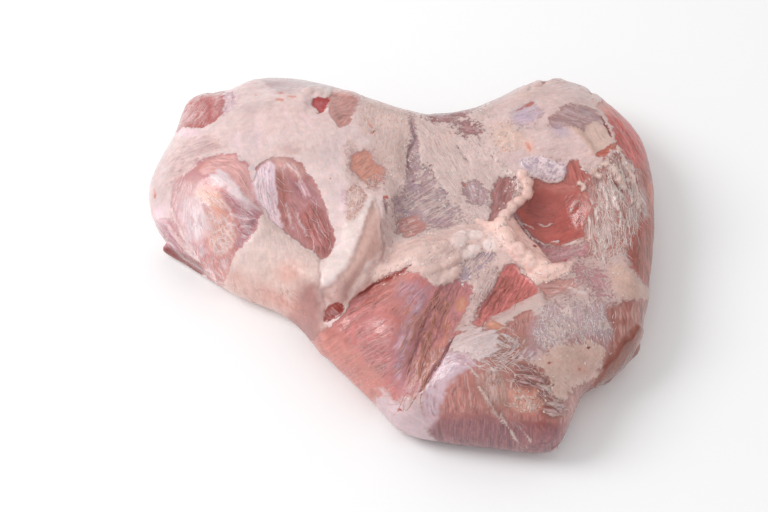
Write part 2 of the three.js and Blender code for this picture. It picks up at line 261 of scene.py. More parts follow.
    ("red by the pocket", "lean", dict(lean="red", other="deep_red", mixed=0.7, soft=2, lift=-0.6,
     fibre=1.1, fringe=1.5, cover=0.03, grain=72),
     "564,182 567,172 570,163 575,160 583,168 590,174 593,190 592,214 588,236 582,240 580,214 578,190"),
    # The pocket is streaked with a darker red that also serves as painted shade in the hollow.
    ("pocket", "lean", dict(lean="deep_red", other="pocket_red_and_shade", mixed=0.5, soft=4, lift=-0.8, fibre=0.5,
     gloss=0.8, grain=("ring", (545, 180))),
     "530,182 546,182 558,184 570,182 578,192 582,208 585,226 582,237 571,241 557,245 543,242 528,235 "
     "518,224 516,214 525,203 531,195"),
    ("orange rim of the pocket", "lean", dict(lean="red", other="deep_red", mixed=0.6, soft=4, fibre=0.7,
     gloss=0.7, grain=12),
     "531,178 545,179 560,183 570,180 574,190 560,192 545,188 532,188"),
    ("wrinkled wall of the pocket", "film", dict(fat="dull", lean="plum_dark", soft=2.5, cover=0.4,
     fibre=1.2, fringe=2, grain=50),
     "514,212 519,214 528,228 540,240 549,244 543,252 533,244 522,232 515,222"),
    ("band under the pocket", "film", dict(fat="dull", lean="plum", soft=3, cover=0.3, torn=0.8, fringe=2,
     grain=-8),
     "540,247 557,249 576,246 594,241 592,254 568,262 554,264 544,258"),
    ("long muscle", "lean", dict(lean="red_light", other="red_pale", mixed=0.5, soft=2.5, gloss=0.25,
     fringe=1, grain=("ring", (430, 250))),
     "580,60 588,90 597,103 604,113 611,126 615,138 619,148 628,160 640,172 646,186 648,202 645,218 "
     "634,232 626,256 632,274 646,290 720,320 730,180 690,80"),
    ("foot of the long muscle", "lean", dict(lean="red_dark", other="red_pale", mixed=0.35, soft=9,
     gloss=0.3, grain=("ring", (430, 250))),
     "640,165 700,150 720,320 650,292 632,272 625,254 634,234 645,216"),
    ("torn membrane", "film", dict(fat="shred_dull", lean="red_film", soft=6, cover=0.36, torn=0.45,
     lift=0.3, fibre=1.2, fringe=6, gloss=0.8, grain=80),
     "588,184 600,168 618,156 630,166 640,190 642,216 634,233 624,252 606,262 592,257 588,238 592,214"),
    ("dense foot of the torn membrane", "film", dict(fat="shred_dull", lean="red_film", soft=7, cover=0.55,
     torn=0.5, fibre=1.2, fringe=6, gloss=0.8, grain=84),
     "586,232 592,212 606,206 618,214 622,236 612,248 596,246"),
    ("fat below the long muscle", "fat", dict(fat="dull", soft=4, torn=0.8, cover=0.85, lift=0.6,
     stain=0.2, lean="plum", fringe=4, fibre=0.4, lobules=0.5, grain=40),
     "560,264 576,258 592,260 606,262 622,250 630,268 640,282 652,296 652,308 634,306 612,304 600,302 "
     "584,298 562,290"),
    ("dusky fat under the band", "film", dict(fat="dull", lean="plum", soft=6, fringe=3, grain=60),
     "574,270 590,266 606,276 616,290 604,296 588,288"),
    ("peach fat at the right", "fat", dict(fat="peach_dull", soft=6, torn=0.5, lobules=0.6, lift=0.5),
     "612,268 624,264 636,280 648,294 640,302 622,298 612,286"),
    ("window by the rope", "lean", dict(lean="red_pink", mixed=0.4, soft=3, lift=-0.6, fibre=0.9, fringe=3,
     cover=0.06, grain=172),
     "541,286 552,280 566,279 580,283 574,290 560,296 546,297"),
    ("lumps of fat", "fat", dict(fat="lump", soft=2.5, torn=0.6, cover=0.95, lift=0.8, bevel=5, lumps=0.35,
     lean="plum_pale", stain=0.2, fibre=0.4, fringe=2, lobules=0.6, grain=-32),
     "374,262 384,249 400,239 420,238 440,231 470,224 490,233 507,244 516,256 512,264 500,271 490,286 "
     "480,298 465,290 450,284 436,291 425,279 407,273 389,275 367,288 353,299 351,290 362,274"),
    ("lavender valleys", "film", dict(fat="lump", lean="silver_violet", soft=5, cover=0.45, torn=0.8,
     lift=-0.8, fibre=0.8, fringe=4, grain=-50),
     "462,262 474,254 490,250 496,258 484,270 470,284 458,282"),
    ("front muscle", "lean", dict(lean="front_pink", other="front_red", mixed=0.6, soft=1.6, lift=-0.3,
     fibre=1.2, gloss=0.6, fringe=1, crackle=0.15, grain=146),
     "322,336 340,318 354,299 367,288 389,275 407,272 425,279 438,291 446,296 436,312 427,330 418,350 "
     "413,374 410,396 396,408 380,440 330,400 290,350"),
    ("net on the front muscle", "silver", dict(lean="front_pink", other="rose", soft=10, crackle=0.2,
     gloss=0.7, fringe=4, fibre=1.1, grain=150),
     "352,330 376,316 398,322 402,346 398,372 384,384 366,366"),
    ("smooth side of the front muscle", "lean", dict(lean="front_salmon", other="front_pink", mixed=0.4,
     soft=7, fibre=0.6, grain=150),
     "318,338 332,328 348,346 366,368 384,392 392,404 380,440 330,400 290,350"),
    ("dusky side of the front muscle", "lean", dict(lean="plum", other="silver_violet", mixed=0.5, soft=7,
     fringe=4, grain=125),
     "392,284 408,280 424,284 434,296 426,326 414,352 408,380 398,388 390,368 398,336 404,308"),
    ("striped seam", "lean", dict(lean="purple", other="sinew_dull", mixed=0.45, soft=4, fibre=1.3,
     fringe=3, lift=-0.4, grain=113),
     "430,292 446,284 462,283 474,289 468,305 459,323 452,340 440,360 428,379 418,396 402,398 405,372 "
     "412,347 420,318"),
    ("lean strip", "lean", dict(lean="strip_red", other="red_dark", mixed=0.6, soft=2, lift=-0.8,
     fibre=1.3, fringe=1.5, grain=122),
     "512,264 525,275 534,284 538,294 520,305 506,314 490,320 478,326 473,322 480,306 492,287 501,273"),
    ("streak of fat", "fat", dict(fat="streak", soft=3, lift=0.5, lobules=0.3, torn=0.8, fibre=1.0,
     cover=0.85, lean="plum", fringe=3, grain=118),
     "486,266 498,270 494,286 484,300 475,315 467,322 468,304 475,286"),
    ("front lobe", "lean", dict(lean="lobe", other="lobe_pale", mixed=0.5, soft=2, fibre=1.1, gloss=0.6,
     grain=88),
     "424,358 450,336 475,326 500,321 532,300 546,312 600,330 650,330 660,380 612,408 600,450 575,490 "
     "410,480 416,430 418,396"),
    # Darker towards the front lobe's lower edge, where it turns under: painted shade.
    ("underline of the front lobe", "lean", dict(lean="lobe_underside_shade", other="lobe", mixed=0.5, soft=9,
     gloss=0.6, grain=90),
     "425,424 470,416 520,422 575,428 600,440 575,490 410,480"),
    ("fibres right of the white fat", "lean", dict(lean="lobe_brown", mixed=0.6, soft=5, fringe=4,
     fibre=1.2, grain=("ring", (452, 300))),
     "500,338 516,334 530,342 534,354 524,366 506,372 494,364 490,354"),
    ("mottled squares of the lobe", "film", dict(fat="tan", lean="lobe_brown", soft=8, cover=0.25,
     torn=0.4, fibre=0.8, fringe=4, crackle=0.2, grain=80),
     "476,372 492,366 506,374 510,392 506,404 492,408 480,398"),
    ("white fat on the front lobe", "fat", dict(fat="silver", soft=5, torn=0.6, lift=0.6, lobules=0.2,
     gloss=0.6, fibre=1.0, fringe=8, grain=160),
     "446,350 452,338 464,330 484,328 500,333 500,346 492,358 476,364 458,370 446,364"),
    ("silverskin on the front lobe", "silver", dict(lean="silver_dull", other="plum", mixed=0.6, soft=4,
     crackle=0.0, fibre=1.2, fringe=3, grain=("ring", (462, 392))),
     "419,402 427,378 437,361 450,354 476,362 462,372 450,384 442,402 436,424 424,420"),
    ("fat at the corner", "fat", dict(fat="corner", soft=8, lobules=0.2, fringe=4, fibre=0.4, cover=0.95,
     grain=20),
     "387,390 396,400 404,394 410,404 421,400 424,414 434,438 430,460 395,460 372,430 376,400"),
    ("mottled shoulder", "film", dict(fat="streak", lean="mauve", soft=9, cover=0.55, fibre=0.3, gloss=1.0,
     fringe=4, grain=84),
     "540,304 560,298 590,299 610,304 616,328 608,342 590,338 570,342 548,350 534,342 534,322"),
    ("brown side of the front lobe", "lean", dict(lean="brown_dark", mixed=0.5, soft=5, fibre=1.2,
     fringe=4, cover=0.03, gloss=0.8, grain=12),
     "514,364 526,360 540,366 550,382 560,396 566,410 552,420 536,404 520,396 512,382"),
    ("orange flaps of the lobe", "film", dict(fat="peach", lean="orange", soft=4, cover=0.4, torn=0.8,
     fibre=0.6, fringe=3, lift=0.5, grain=100),
     "510,390 522,388 536,392 540,404 536,414 522,412 512,404"),
    ("fat on the front lobe", "fat", dict(fat="tan_light", soft=5, torn=0.7, lift=0.8, lobules=0.4,
     stain=0.3, fringe=4, fibre=0.4, cover=0.9, grain=40),
     "524,362 534,353 548,349 563,343 580,340 600,342 605,350 604,361 592,378 575,389 563,399 554,397 "
     "549,382 539,372"),
    ("right edge", "lean", dict(lean="right_pink", other="right_pale", mixed=0.5, soft=4, fibre=1.1,
     fringe=2, grain=86),
     "608,308 640,300 680,330 650,378 622,378 606,378 606,353 614,332"),
    # The cut flap faces down in the body's shade: its brown-red is partly its own and partly painted shade.
    ("cut flap", "lean", dict(lean="cut_brown_and_shade", other="cut_red_and_shade", mixed=0.5, soft=2, lift=2.5, fibre=0.6,
     gloss=0.8, grain=120),
     "592,386 598,374 605,364 613,355 620,344 628,336 640,326 654,350 642,376 618,392"),
    # The tongue lies under the overhang: its dark red is partly its own and partly painted shade.
    ("tongue", "lean", dict(lean="cut_red_and_shade", other="rose", mixed=0.4, soft=2, fibre=0.6, gloss=0.8,
     grain=28),
     "150,244 164,248 178,251 190,258 203,268 198,282 175,274 150,262"),
]

# Small areas laid after the rest, because they cross its edges.
LATE_PATCHES = [
    # The rope's fat is paler than the fat round it: partly paler fat, partly painted light that lifts its
    # shaded flank.
    ("band of fat below the rope", "fat", dict(fat="rope", soft=2.2, lift=1.8, bevel=5, lumps=0.3,
     stain=0.3, fringe=2, torn=0.5, fibre=0.3, grain=45),
     "498,220 508,219 516,222 525,232 535,243 543,254 551,263 564,265 574,262 566,274 556,279 542,283 "
     "531,279 524,269 513,260 506,249 496,236 486,228"),
    ("fold over the lean strip", "fat", dict(fat="streak", soft=1.8, lift=1.4, lobules=0.3, fringe=2,
     torn=0.4, grain=-30),
     "488,321 500,313 512,306 524,299 536,294 544,300 540,310 526,314 512,320 500,327 490,328"),
    ("torn corner of the pocket", "film", dict(fat="shred_dull", lean="deep_red", soft=3, cover=0.4,
     torn=1.0, fibre=0.3, gloss=0.9),
     "570,204 578,200 584,210 582,221 574,221 569,212"),
    ("orange bits by the strip", "lean", dict(lean="sinew", other="peach", mixed=0.5, soft=2.5, fringe=2,
     lift=0.4, grain=8),
     "485,324 494,323 503,326 500,329 488,329"),
    ("orange bits by the seam", "lean", dict(lean="sinew", other="peach", mixed=0.5, soft=2.5, fringe=2,
     lift=0.4, grain=110),
     "459,301 462,297 466,300 464,308 460,311 457,308"),
    ("vessel", "lean", dict(lean="vessel_red", other="rose", mixed=0.4, soft=1.4, lift=-2.6, fibre=0.6,
     gloss=0.9, grain=60),
     "312,99 320,97 329,98 328,104 324,111 319,113 315,108"),
]

# Rounded lumps of fat in one tint: place, half length and half width in pixels, angle in degrees and height
# in millimetres.
LUMPS = [
    # The lumps in the rope's tint, in this group and the second such group below, are partly paler fat and
    # partly painted light.
    ("rope", [(521, 175, 6, 5, 60, 2.2), (527, 183, 6.5, 6, 60, 3.2), (527, 193, 7.5, 6.5, 100, 4.2),
     (519, 202, 6, 5.5, 140, 3.8), (512, 208, 6.5, 5.5, 130, 3.8), (505, 215, 6.5, 5.5, 130, 3.6),
     (500, 223, 6.5, 6, 120, 3.2), (489, 225, 8, 4, 5, 2.0), (480, 222, 5, 3.5, 0, 1.4)]),
    ("lump", [(416, 252, 15, 9, -15, 2.6), (399, 262, 12, 7, -30, 2.0), (381, 272, 14, 8, -35, 2.0),
     (364, 284, 11, 7, -45, 1.6), (441, 247, 11, 6, -20, 1.8), (450, 262, 14, 5, -25, 1.8),
     (452, 276, 12, 6, -30, 2.0), (432, 270, 12, 5, -20, 1.6)]),
    ("white_fat", [(460, 240, 11, 7, -35, 2.4), (476, 236, 9, 6, -10, 2.0), (472, 252, 10, 6, -30, 2.2),
     (490, 246, 9, 7, 30, 1.6)]),
    ("rope", [(508, 236, 9, 6, 50, 2.0), (518, 250, 9, 7, 50, 2.2), (530, 264, 9, 7, 45, 2.4),
     (543, 272, 10, 7, 10, 2.4), (556, 270, 9, 6, -20, 1.8)]),
    ("centre", [(310, 91, 6, 4, -10, 2.4), (319, 92, 5, 4, 10, 2.2), (327, 93, 4, 4, 40, 1.6)]),
    ("peach", [(500, 134, 5, 4, 0, 1.2), (508, 131, 5, 4, 20, 1.2), (516, 136, 5, 4, 0, 1.4),
     (505, 142, 5, 4, 0, 1.2), (514, 146, 4, 4, 0, 1.0)]),
    ("dome_fat", [(524, 90, 7, 4, -35, 2.0), (538, 83, 6, 4, -20, 1.8), (560, 80, 9, 4, 0, 1.6),
     (584, 87, 8, 4, 30, 1.8), (597, 98, 7, 4, 45, 1.6)]),
    ("streak", [(422, 172, 3, 2, 0, 1.2), (430, 178, 3, 2, 0, 1.2), (418, 182, 3, 2, 0, 1.0),
     (437, 186, 3, 2, 0, 1.0), (425, 198, 3, 2, 20, 1.0), (443, 205, 3, 2, 0, 1.0)]),
    ("corner", [(556, 449, 5, 4, -30, 2.0)]),
]

# Soft swells and hollows of the form, as the lumps but without an edge.
SWELLS = [
    (252, 80, 14, 6, -30, 2.5), (216, 87, 15, 8, -10, -5.0), (266, 118, 6, 26, 8, 0.8),
    (243, 132, 4, 16, 5, 0.8), (290, 149, 16, 6, 0, 0.9), (278, 120, 30, 14, 0, 0.8),
    (352, 92, 14, 7, 30, 1.6), (440, 112, 40, 5, 5, 2.0), (565, 80, 26, 5, 5, 1.6),
    (312, 104, 5, 9, 0, -1.6), (196, 220, 16, 22, 0, 1.2), (225, 178, 24, 7, 40, 1.0),
    (640, 200, 6, 40, 0, 0.6), (574, 352, 24, 12, 0, 1.0), (470, 345, 20, 12, -20, 1.0),
    (508, 132, 16, 10, 0, 1.2), (545, 170, 20, 8, 10, 0.8), (582, 140, 5, 18, -35, 1.6),
]

# Long narrow features, a few of them painted highlights, painted shade and a painted shadow. `half` is half
# the width in pixels and `lift` the height in millimetres. `wild` is how unevenly the width runs, and `share`
# how strongly the look is laid on.
STROKES = [
    ("wrinkles by the rope", dict(half=1.3, lift=-0.8, lean="plum_dark", cover=0.2, share=0.7),
     ["517,218 526,229 537,239", "520,226 530,236 542,245"]),
    # White lines along the rope's flank and at the pocket's rim: painted highlights.
    ("glints by the rope", dict(half=1.1, lift=0.6, fat="shred", cover=1, share=0.7, gloss=1),
     ["515,214 523,226 534,237 546,244", "522,222 530,226 537,228", "538,222 546,226 552,224"]),
    ("seam in the middle", dict(half=1.6, lift=-1.4, lean="seam_dark", cover=0.2, wild=0.8, share=0.9),
     ["413,119 413,127 416,138 411,146 408,157 409,166 413,174"]),
    ("seams of the saddle", dict(half=1.1, lift=-0.9, lean="seam_dark", cover=0.4, wild=0.8, share=0.7),
     ["433,122 444,129 454,137", "456,146 464,157 476,172", "430,166 438,182 450,196",
      "384,196 386,208 388,218", "402,186 408,196 404,206"]),
    ("seam of the front muscle", dict(half=1.4, lift=-2.0, lean="seam_red", cover=0, wild=0.5),
     ["357,297 364,291 379,282 395,275 404,270 411,266"]),
    # Darker lines where the fat folds over and at the foot of the flap's cut edge: painted shade in the
    # creases, over real grooves.
    ("creases of the fat", dict(half=1.2, lift=-0.9, fat="crease", cover=1, share=0.5),
     ["319,258 320,268 321,282 319,290", "376,200 380,214 383,230 384,252 378,262",
      "323,294 325,306 323,318"]),
    ("folds of the plateau", dict(half=3.5, lift=-0.5, fat="silver_blue", cover=1, share=0.35, wild=0.5),
     ["237,130 237,140 239,150", "257,120 258,136 260,150", "282,106 286,116 290,124",
      "300,112 304,120 312,126"]),
    ("ring round the small island", dict(half=2.0, lift=-0.4, fat="cream_pink", cover=1, share=0.5),
     ["272,147 282,152 294,154 301,150 298,144 286,142 276,143"]),
    ("pale edge of the silverskin", dict(half=1.1, lift=0.4, lean="silver_white", cover=0, share=0.8),
     ["256,174 257,190 265,208 279,226", "261,172 263,188 270,206 281,222"]),
    ("red edge of the silverskin", dict(half=1.2, lift=-0.3, lean="brick", cover=0, share=0.8),
     ["275,168 277,186 279,204 284,224"]),
    # Dark purple in the grooves by the silverskin and in the striped seam: partly the seam's purple, partly
    # painted shade in the grooves.
    ("groove by the silverskin", dict(half=1.7, lift=-1.8, lean="purple_and_groove_shade", cover=0),
     ["454,338 448,350 440,360 429,376 420,392"]),
    ("grooves of the striped seam", dict(half=2.0, lift=-0.9, lean="purple_and_groove_shade", cover=0, wild=0.7,
     share=0.5),
     ["436,304 424,324 415,350 408,374", "450,304 440,326 430,350 418,378", "444,288 436,300"]),
    ("sinews of the striped seam", dict(half=2.2, lift=0.9, lean="sinew", cover=0, fibre=1.3, wild=0.9,
     share=0.5),
     ["426,308 416,326 408,346 403,356", "445,294 438,310 431,328 422,350 417,380",
      "453,320 447,334 440,347", "447,300 442,312"]),
    ("thin sinews", dict(half=1.2, lift=0.4, lean="sinew_dull", cover=0, wild=0.8, share=0.7),
     ["418,312 408,330 400,350", "434,330 424,352 412,384", "456,296 448,310 442,322",
      "412,300 404,316"]),
    ("edges of the lean strip", dict(half=1.2, lift=-0.8, lean="red_dark", cover=0, share=0.8),
     ["510,270 498,288 486,306 478,320", "514,276 504,292 492,310"]),
    ("folds on the dome", dict(half=4.0, lift=1.2, fat="peach_dull", cover=1, share=0.8),
     ["573,128 582,134 589,143 594,156"]),
    # A dark line along the window's sunk edge: painted shade.
    ("window's dark edge", dict(half=1.1, lift=-1.2, lean="cut_red_and_shade", cover=0, share=0.8),
     ["601,117 607,126 612,137"]),
    ("window's red rim", dict(half=3.6, lift=0, lean="rim_red", cover=0, wild=0.8, share=0.8,
     other="orange", mixed=0.6),
     ["596,154 603,154 611,149 617,143"]),
    ("slit at the back", dict(half=1.3, lift=-1.2, lean="rim_red", cover=0, wild=0.8, share=0.7),
     ["542,83 550,80 558,78"]),
    ("red line on the dome", dict(half=1.2, lift=-0.3, lean="vivid_dull", cover=0.1, share=0.8, wild=0.9),
     ["516,111 524,107 534,102"]),
    ("orange dashes", dict(half=1.2, lift=-0.3, fat="vivid_pale", lean="vivid_pale", share=0.75, wild=0.9),
     ["274,101 279,100 284,101", "286,96 292,96 297,95", "279,92 284,92", "254,95 257,94",
      "368,121 371,127", "371,132 373,133", "525,142 529,146 531,151", "154,190 155,198"]),
    ("orange edge of the round muscle", dict(half=1.4, lift=0.1, lean="orange", fat="orange", share=0.6,
     wild=0.6),
     ["197,170 204,165 212,160"]),
    ("red streaks on the front muscle", dict(half=1.3, lift=-0.5, lean="front_red", cover=0, share=0.8),
     ["356,322 360,319 364,316", "356,298 372,290 388,284", "360,306 376,299 392,292",
      "340,330 352,324"]),
    ("pale edge of the lumpy membrane", dict(half=1.2, lift=0.5, fat="shred", cover=1, share=0.8),
     ["525,173 536,177 548,181 560,182 566,176"]),
    ("broad shreds", dict(half=2.6, lift=1.6, fat="shred_warm", cover=1, wild=0.9, lobules=0.5, torn=0.6),
     ["592,170 597,176 602,175", "601,164 609,165 615,171 620,179 626,187 630,193",
      "617,146 620,154 627,167 633,181 638,198 640,212", "578,182 583,186 582,192"]),
    # A dark line under the broad shreds: painted shadow.
    ("dark line below the shreds", dict(half=1.1, lift=-1.2, lean="cut_red_and_shade", cover=0, share=0.8),
     ["605,176 612,180 619,187 626,193"]),
    # The first two lines, along the pocket's lower rim, are painted highlights; the rest are fine torn
    # strips.
    ("thin shreds and painted highlights", dict(half=1.1, lift=0.7, fat="shred", cover=1, wild=0.9, share=0.8),
     ["549,240 556,240 560,239", "561,244 570,243 580,239", "590,198 595,208 598,222",
      "604,186 608,200 607,214", "614,196 620,212 620,228", "598,232 602,244", "626,178 630,192 632,206",
      "608,178 614,190 616,202", "567,288 576,291 587,295", "620,154 626,162",
      "588,214 589,228 590,240"]),
    ("streaks of the front lobe", dict(half=1.3, lift=0.5, fat="shred_dull", cover=0.9, wild=0.9,
     share=0.75),
     ["478,386 486,398 494,410 503,424", "500,412 508,426 516,442", "512,430 518,444",
      "514,374 524,376 534,379", "516,398 526,396 536,397", "529,399 531,412", "541,404 552,404 562,406",
      "525,359 530,355 536,351", "516,366 514,378 510,388", "546,412 554,414 562,418",
      "536,384 544,388 550,394", "520,426 528,436 532,446"]),
    ("feathers of the white fat", dict(half=1.3, lift=0.4, fat="silver", cover=0.9, wild=0.8, share=0.7),
     ["490,336 502,335 514,339", "488,344 500,343 512,348", "484,352 496,352 508,358",
      "476,360 488,364 496,372", "466,364 474,370 480,378", "496,330 506,328 516,330"]),
    ("net on the lumps", dict(half=1.1, lift=-0.5, lean="plum_pale", cover=0.5, wild=0.8, share=0.6),
     ["430,262 444,256 458,248", "440,272 456,266 470,258", "462,280 476,264 488,254",
      "470,292 482,274 494,262", "456,246 470,244 484,240"]),
    # Short white lines on the round and bare muscles: painted highlights.
    ("glints on the round muscle", dict(half=1.1, lift=0.4, lean="silver_white", cover=0, gloss=1,
     share=0.6),
     ["198,206 206,204 213,209", "194,216 202,214 210,219", "193,226 203,224 211,228", "205,270 213,272",
      "228,214 240,218 252,220", "226,222 238,226 250,226", "222,200 230,210 234,222"]),
    ("glints on the bare muscle", dict(half=1.1, lift=0.4, lean="silver_white", cover=0, gloss=1,
     share=0.55),
     ["292,163 298,172 302,183", "288,164 294,172", "286,204 288,216 292,230",
      "296,210 300,224 306,238"]),
    ("cream bands of the left end", dict(half=2.4, lift=0.5, fat="cream_pink", cover=0.9, share=0.7),
     ["168,224 176,236 186,248 198,261", "172,206 178,224 188,242 202,262"]),
]

# Small round marks: place in pixels, radius in pixels and tint.
SPOTS = [
    (399, 410, 1.9, "blood"), (535, 247, 1.8, "blood"), (565, 260, 1.9, "blood"),
    (588, 348, 1.6, "blood_dark"), (550, 363, 1.4, "vivid"), (386, 197, 2.0, "vivid"),
    (155, 196, 2.0, "vivid_dull"), (374, 131, 1.5, "vivid_dull"), (239, 226, 1.4, "blood"),
    (413, 180, 1.3, "blood_dark"), (515, 177, 1.7, "blood_dark"), (652, 182, 2.0, "vivid_dull"),
    (464, 184, 1.8, "vivid_dull"), (214, 119, 1.3, "blood_dark"), (566, 300, 1.2, "vivid_dull"),
    (543, 318, 1.3, "vivid_dull"), (578, 370, 1.6, "vivid_pale"), (413, 130, 1.4, "seam_dark"),
    (411, 140, 1.5, "seam_dark"), (417, 146, 1.3, "seam_dark"), (330, 179, 1.0, "vivid_dull"),
    (414, 160, 1.6, "seam_dark"), (421, 118, 1.2, "seam_dark"),
]

# Soft changes of tint, a few of them painted shade and painted shadow: place, half length and half width in
# pixels, angle in degrees, tint and share.
BLUSHES = [
    (288, 116, 48, 22, 0, "cream_pink", 0.45), (235, 130, 16, 14, 0, "cream_pink", 0.35),
    (289, 150, 8, 4, 0, "plum_pale", 0.5), (290, 86, 30, 7, 0, "grey_film_and_shadow", 0.5),
    (280, 154, 26, 6, -10, "cream_pink", 0.5), (188, 188, 16, 8, -40, "cream_pink", 0.5),
    # The darker fat blushes on this line and the next, on the left end and the plateau, are painted shade
    # where the light from the left falls strongly.
    (160, 186, 14, 44, 10, "left_fat_painted_shade", 0.9), (196, 148, 20, 10, -30, "left_fat_painted_shade", 0.5),
    (205, 105, 14, 14, 0, "coral", 0.3), (250, 112, 26, 16, 0, "left_fat_painted_shade", 0.5),
    (160, 214, 10, 9, 20, "silver_blue", 0.8), (246, 206, 5, 14, 20, "silver_white", 0.3),
    # The pink blushes along the fold's lower front edge, below, are partly the fat's own pink and partly
    # painted shade.
    (343, 203, 3, 14, 5, "silver_blue", 0.8), (262, 294, 34, 12, 30, "fold_pink", 0.5),
    (285, 302, 24, 10, 30, "fold_pink", 0.6), (290, 272, 16, 13, 10, "fold_pink", 0.75),
    (550, 190, 22, 5, 5, "red_pale", 0.4), (545, 234, 20, 5, 10, "red_pale", 0.4),
    (236, 276, 10, 10, -30, "fold_pink", 0.4), (306, 262, 12, 10, 0, "fold", 0.5),
    # The first blush on the next line darkens the fold's lower end: painted shade.
    (312, 320, 12, 24, 20, "tip", 0.6), (282, 252, 16, 12, 20, "cream", 0.3),
    (355, 262, 10, 6, -50, "beige", 0.3), (395, 140, 14, 26, 0, "cream_dull", 0.4),
    (390, 118, 16, 10, 0, "cream_pink", 0.4), (560, 130, 10, 6, 20, "silver_violet", 0.7),
    (525, 116, 14, 7, -20, "silver_violet", 0.4), (530, 147, 6, 8, 20, "orange_light", 0.6),
    (506, 137, 14, 9, 0, "peach", 0.5), (545, 98, 34, 8, -10, "cream_pink", 0.3),
    (545, 138, 14, 9, 0, "dome_fat", 0.4), (530, 92, 20, 5, -25, "peach", 0.6),
    (600, 104, 12, 5, 50, "peach", 0.6), (608, 104, 12, 6, 50, "orange", 0.4),
    (335, 345, 20, 9, 40, "orange", 0.3), (392, 284, 24, 7, -25, "orange", 0.4),
    (400, 308, 14, 22, 25, "orange", 0.2), (370, 372, 24, 8, 40, "orange", 0.3),
    (580, 368, 10, 7, 0, "orange", 0.5), (500, 392, 8, 10, 0, "orange_light", 0.3),
    (540, 425, 16, 12, 0, "red_brown", 0.3), (518, 247, 10, 6, 50, "orange_light", 0.5),
    (512, 236, 10, 6, 40, "orange_light", 0.5), (531, 258, 10, 6, 50, "peach", 0.5),
    (487, 224, 9, 3, 5, "vivid_pale", 0.4), (416, 252, 12, 7, -15, "peach", 0.5),
    (462, 250, 16, 9, 0, "fold", 0.4), (390, 262, 12, 8, -30, "plum_pale", 0.3),
    (400, 262, 8, 5, -30, "peach", 0.4), (652, 195, 3, 12, 0, "orange", 0.6),
    # The second blush on the next line darkens the middle of the pocket: painted shade in the hollow.
    (570, 420, 5, 18, 15, "coral", 0.4), (546, 210, 18, 14, 20, "pocket_red_and_shade", 0.6),
    (640, 150, 8, 30, -25, "red_light", 0.3), (200, 150, 16, 6, -20, "plum_pale", 0.3),
    # The grey blush left of the vessel, on the next line, is a painted shadow.
    (312, 116, 8, 3, 0, "silver_blue", 0.5), (306, 102, 3, 8, 0, "grey_film_and_shadow", 0.8),
    (532, 354, 8, 6, 0, "silver_violet", 0.6), (236, 300, 14, 5, 25, "vivid_pale", 0.3),
    (640, 345, 5, 16, 10, "orange", 0.3),
]

# Fine strands that lie on the surface: how many, the way they run and how far they stray from it in degrees,
# their length in pixels, their radius and rise in millimetres, their tints and the area they fill. The lower
# `clumps` is, the more evenly they lie.
STRANDS = [
    ("torn membrane", dict(count=260, way=80, stray=5, length=(7, 24), radius=(0.15, 0.38), rise=0.16,
     clumps=-0.4, tints="shred shred_dull shred_warm"),
     "592,186 602,170 614,160 628,170 638,190 641,212 634,232 624,250 606,258 594,252 590,236 592,212"),
    # The silvery white strands of the shoulder are partly strands and partly painted highlights.
    ("strands of the shoulder", dict(count=150, way=84, stray=9, length=(3, 10), radius=(0.15, 0.3),
     rise=0.1, clumps=-0.2, tints="shred silver_white silver"),
     "540,304 590,299 614,306 616,328 606,342 570,342 534,342"),
    ("feathers of the white fat", dict(count=80, way=18, stray=8, length=(8, 22), radius=(0.11, 0.26),
     rise=0.08, clumps=-0.3, tints="silver silver_white shred"),
     "474,334 500,330 520,338 522,352 504,368 482,372 466,362"),
    ("streaks of the lobe", dict(count=45, way=52, stray=10, length=(6, 22), radius=(0.11, 0.3), rise=0.12,
     clumps=0.0, tints="shred_dull lobe_pale"),
     "478,384 500,372 530,372 556,392 566,412 540,440 516,444 496,418"),
    ("streaks of the brown side", dict(count=30, way=12, stray=5, length=(6, 16), radius=(0.11, 0.3),
     rise=0.1, clumps=-0.1, tints="shred_dull lobe_pale"),
     "516,364 540,366 560,398 562,414 540,404 516,396"),
    ("fibres of the round muscle", dict(count=150, way=("fan", (190, 165)), stray=3, length=(8, 26),
     radius=(0.09, 0.19), rise=0.02, clumps=-0.2, tints="silver_white silver_blue"),
     "184,186 206,172 236,170 250,190 256,212 244,240 230,276 216,280 200,256 184,236 176,210"),
    ("fibres of the bare muscle", dict(count=50, way=66, stray=3, length=(10, 26), radius=(0.09, 0.19),
     rise=0.02, clumps=-0.1, tints="silver_white salmon"),
     "268,166 296,164 316,190 328,224 328,250 304,240 276,216 262,190"),
    ("fibres of the front muscle", dict(count=110, way=143, stray=4, length=(8, 24), radius=(0.09, 0.19),
     rise=0.02, clumps=-0.1, tints="orange_light salmon"),
     "340,330 366,298 396,282 420,290 424,310 408,350 400,384 376,384 350,350"),
    ("ridges of the striped seam", dict(count=60, way=114, stray=3, length=(10, 34), radius=(0.2, 0.45),
     rise=0.12, clumps=-0.2, tints="sinew sinew_dull orange"),
     "432,296 462,288 470,296 452,342 424,388 404,392 408,360"),
    ("veins of the fold", dict(count=70, way=50, stray=24, length=(3, 9), radius=(0.15, 0.3), rise=0.01,
     clumps=0.0, tints="vivid_pale fold_pink orange"),
     "234,280 256,284 290,288 312,296 304,322 262,308 236,298"),
    ("fibres of the lean strip", dict(count=40, way=122, stray=3, length=(8, 20), radius=(0.11, 0.26),
     rise=0.04, clumps=-0.3, tints="strip_red red_dark orange"),
     "498,288 512,272 532,286 520,300 488,318"),
    ("fibres of the long muscle", dict(count=60, way=("ring", (430, 250)), stray=3, length=(14, 36),
     radius=(0.09, 0.19), rise=0.02, clumps=-0.2, tints="red_pale red_light"),
     "610,110 630,140 648,176 652,210 646,262 650,286 640,240 634,180 616,140"),
]

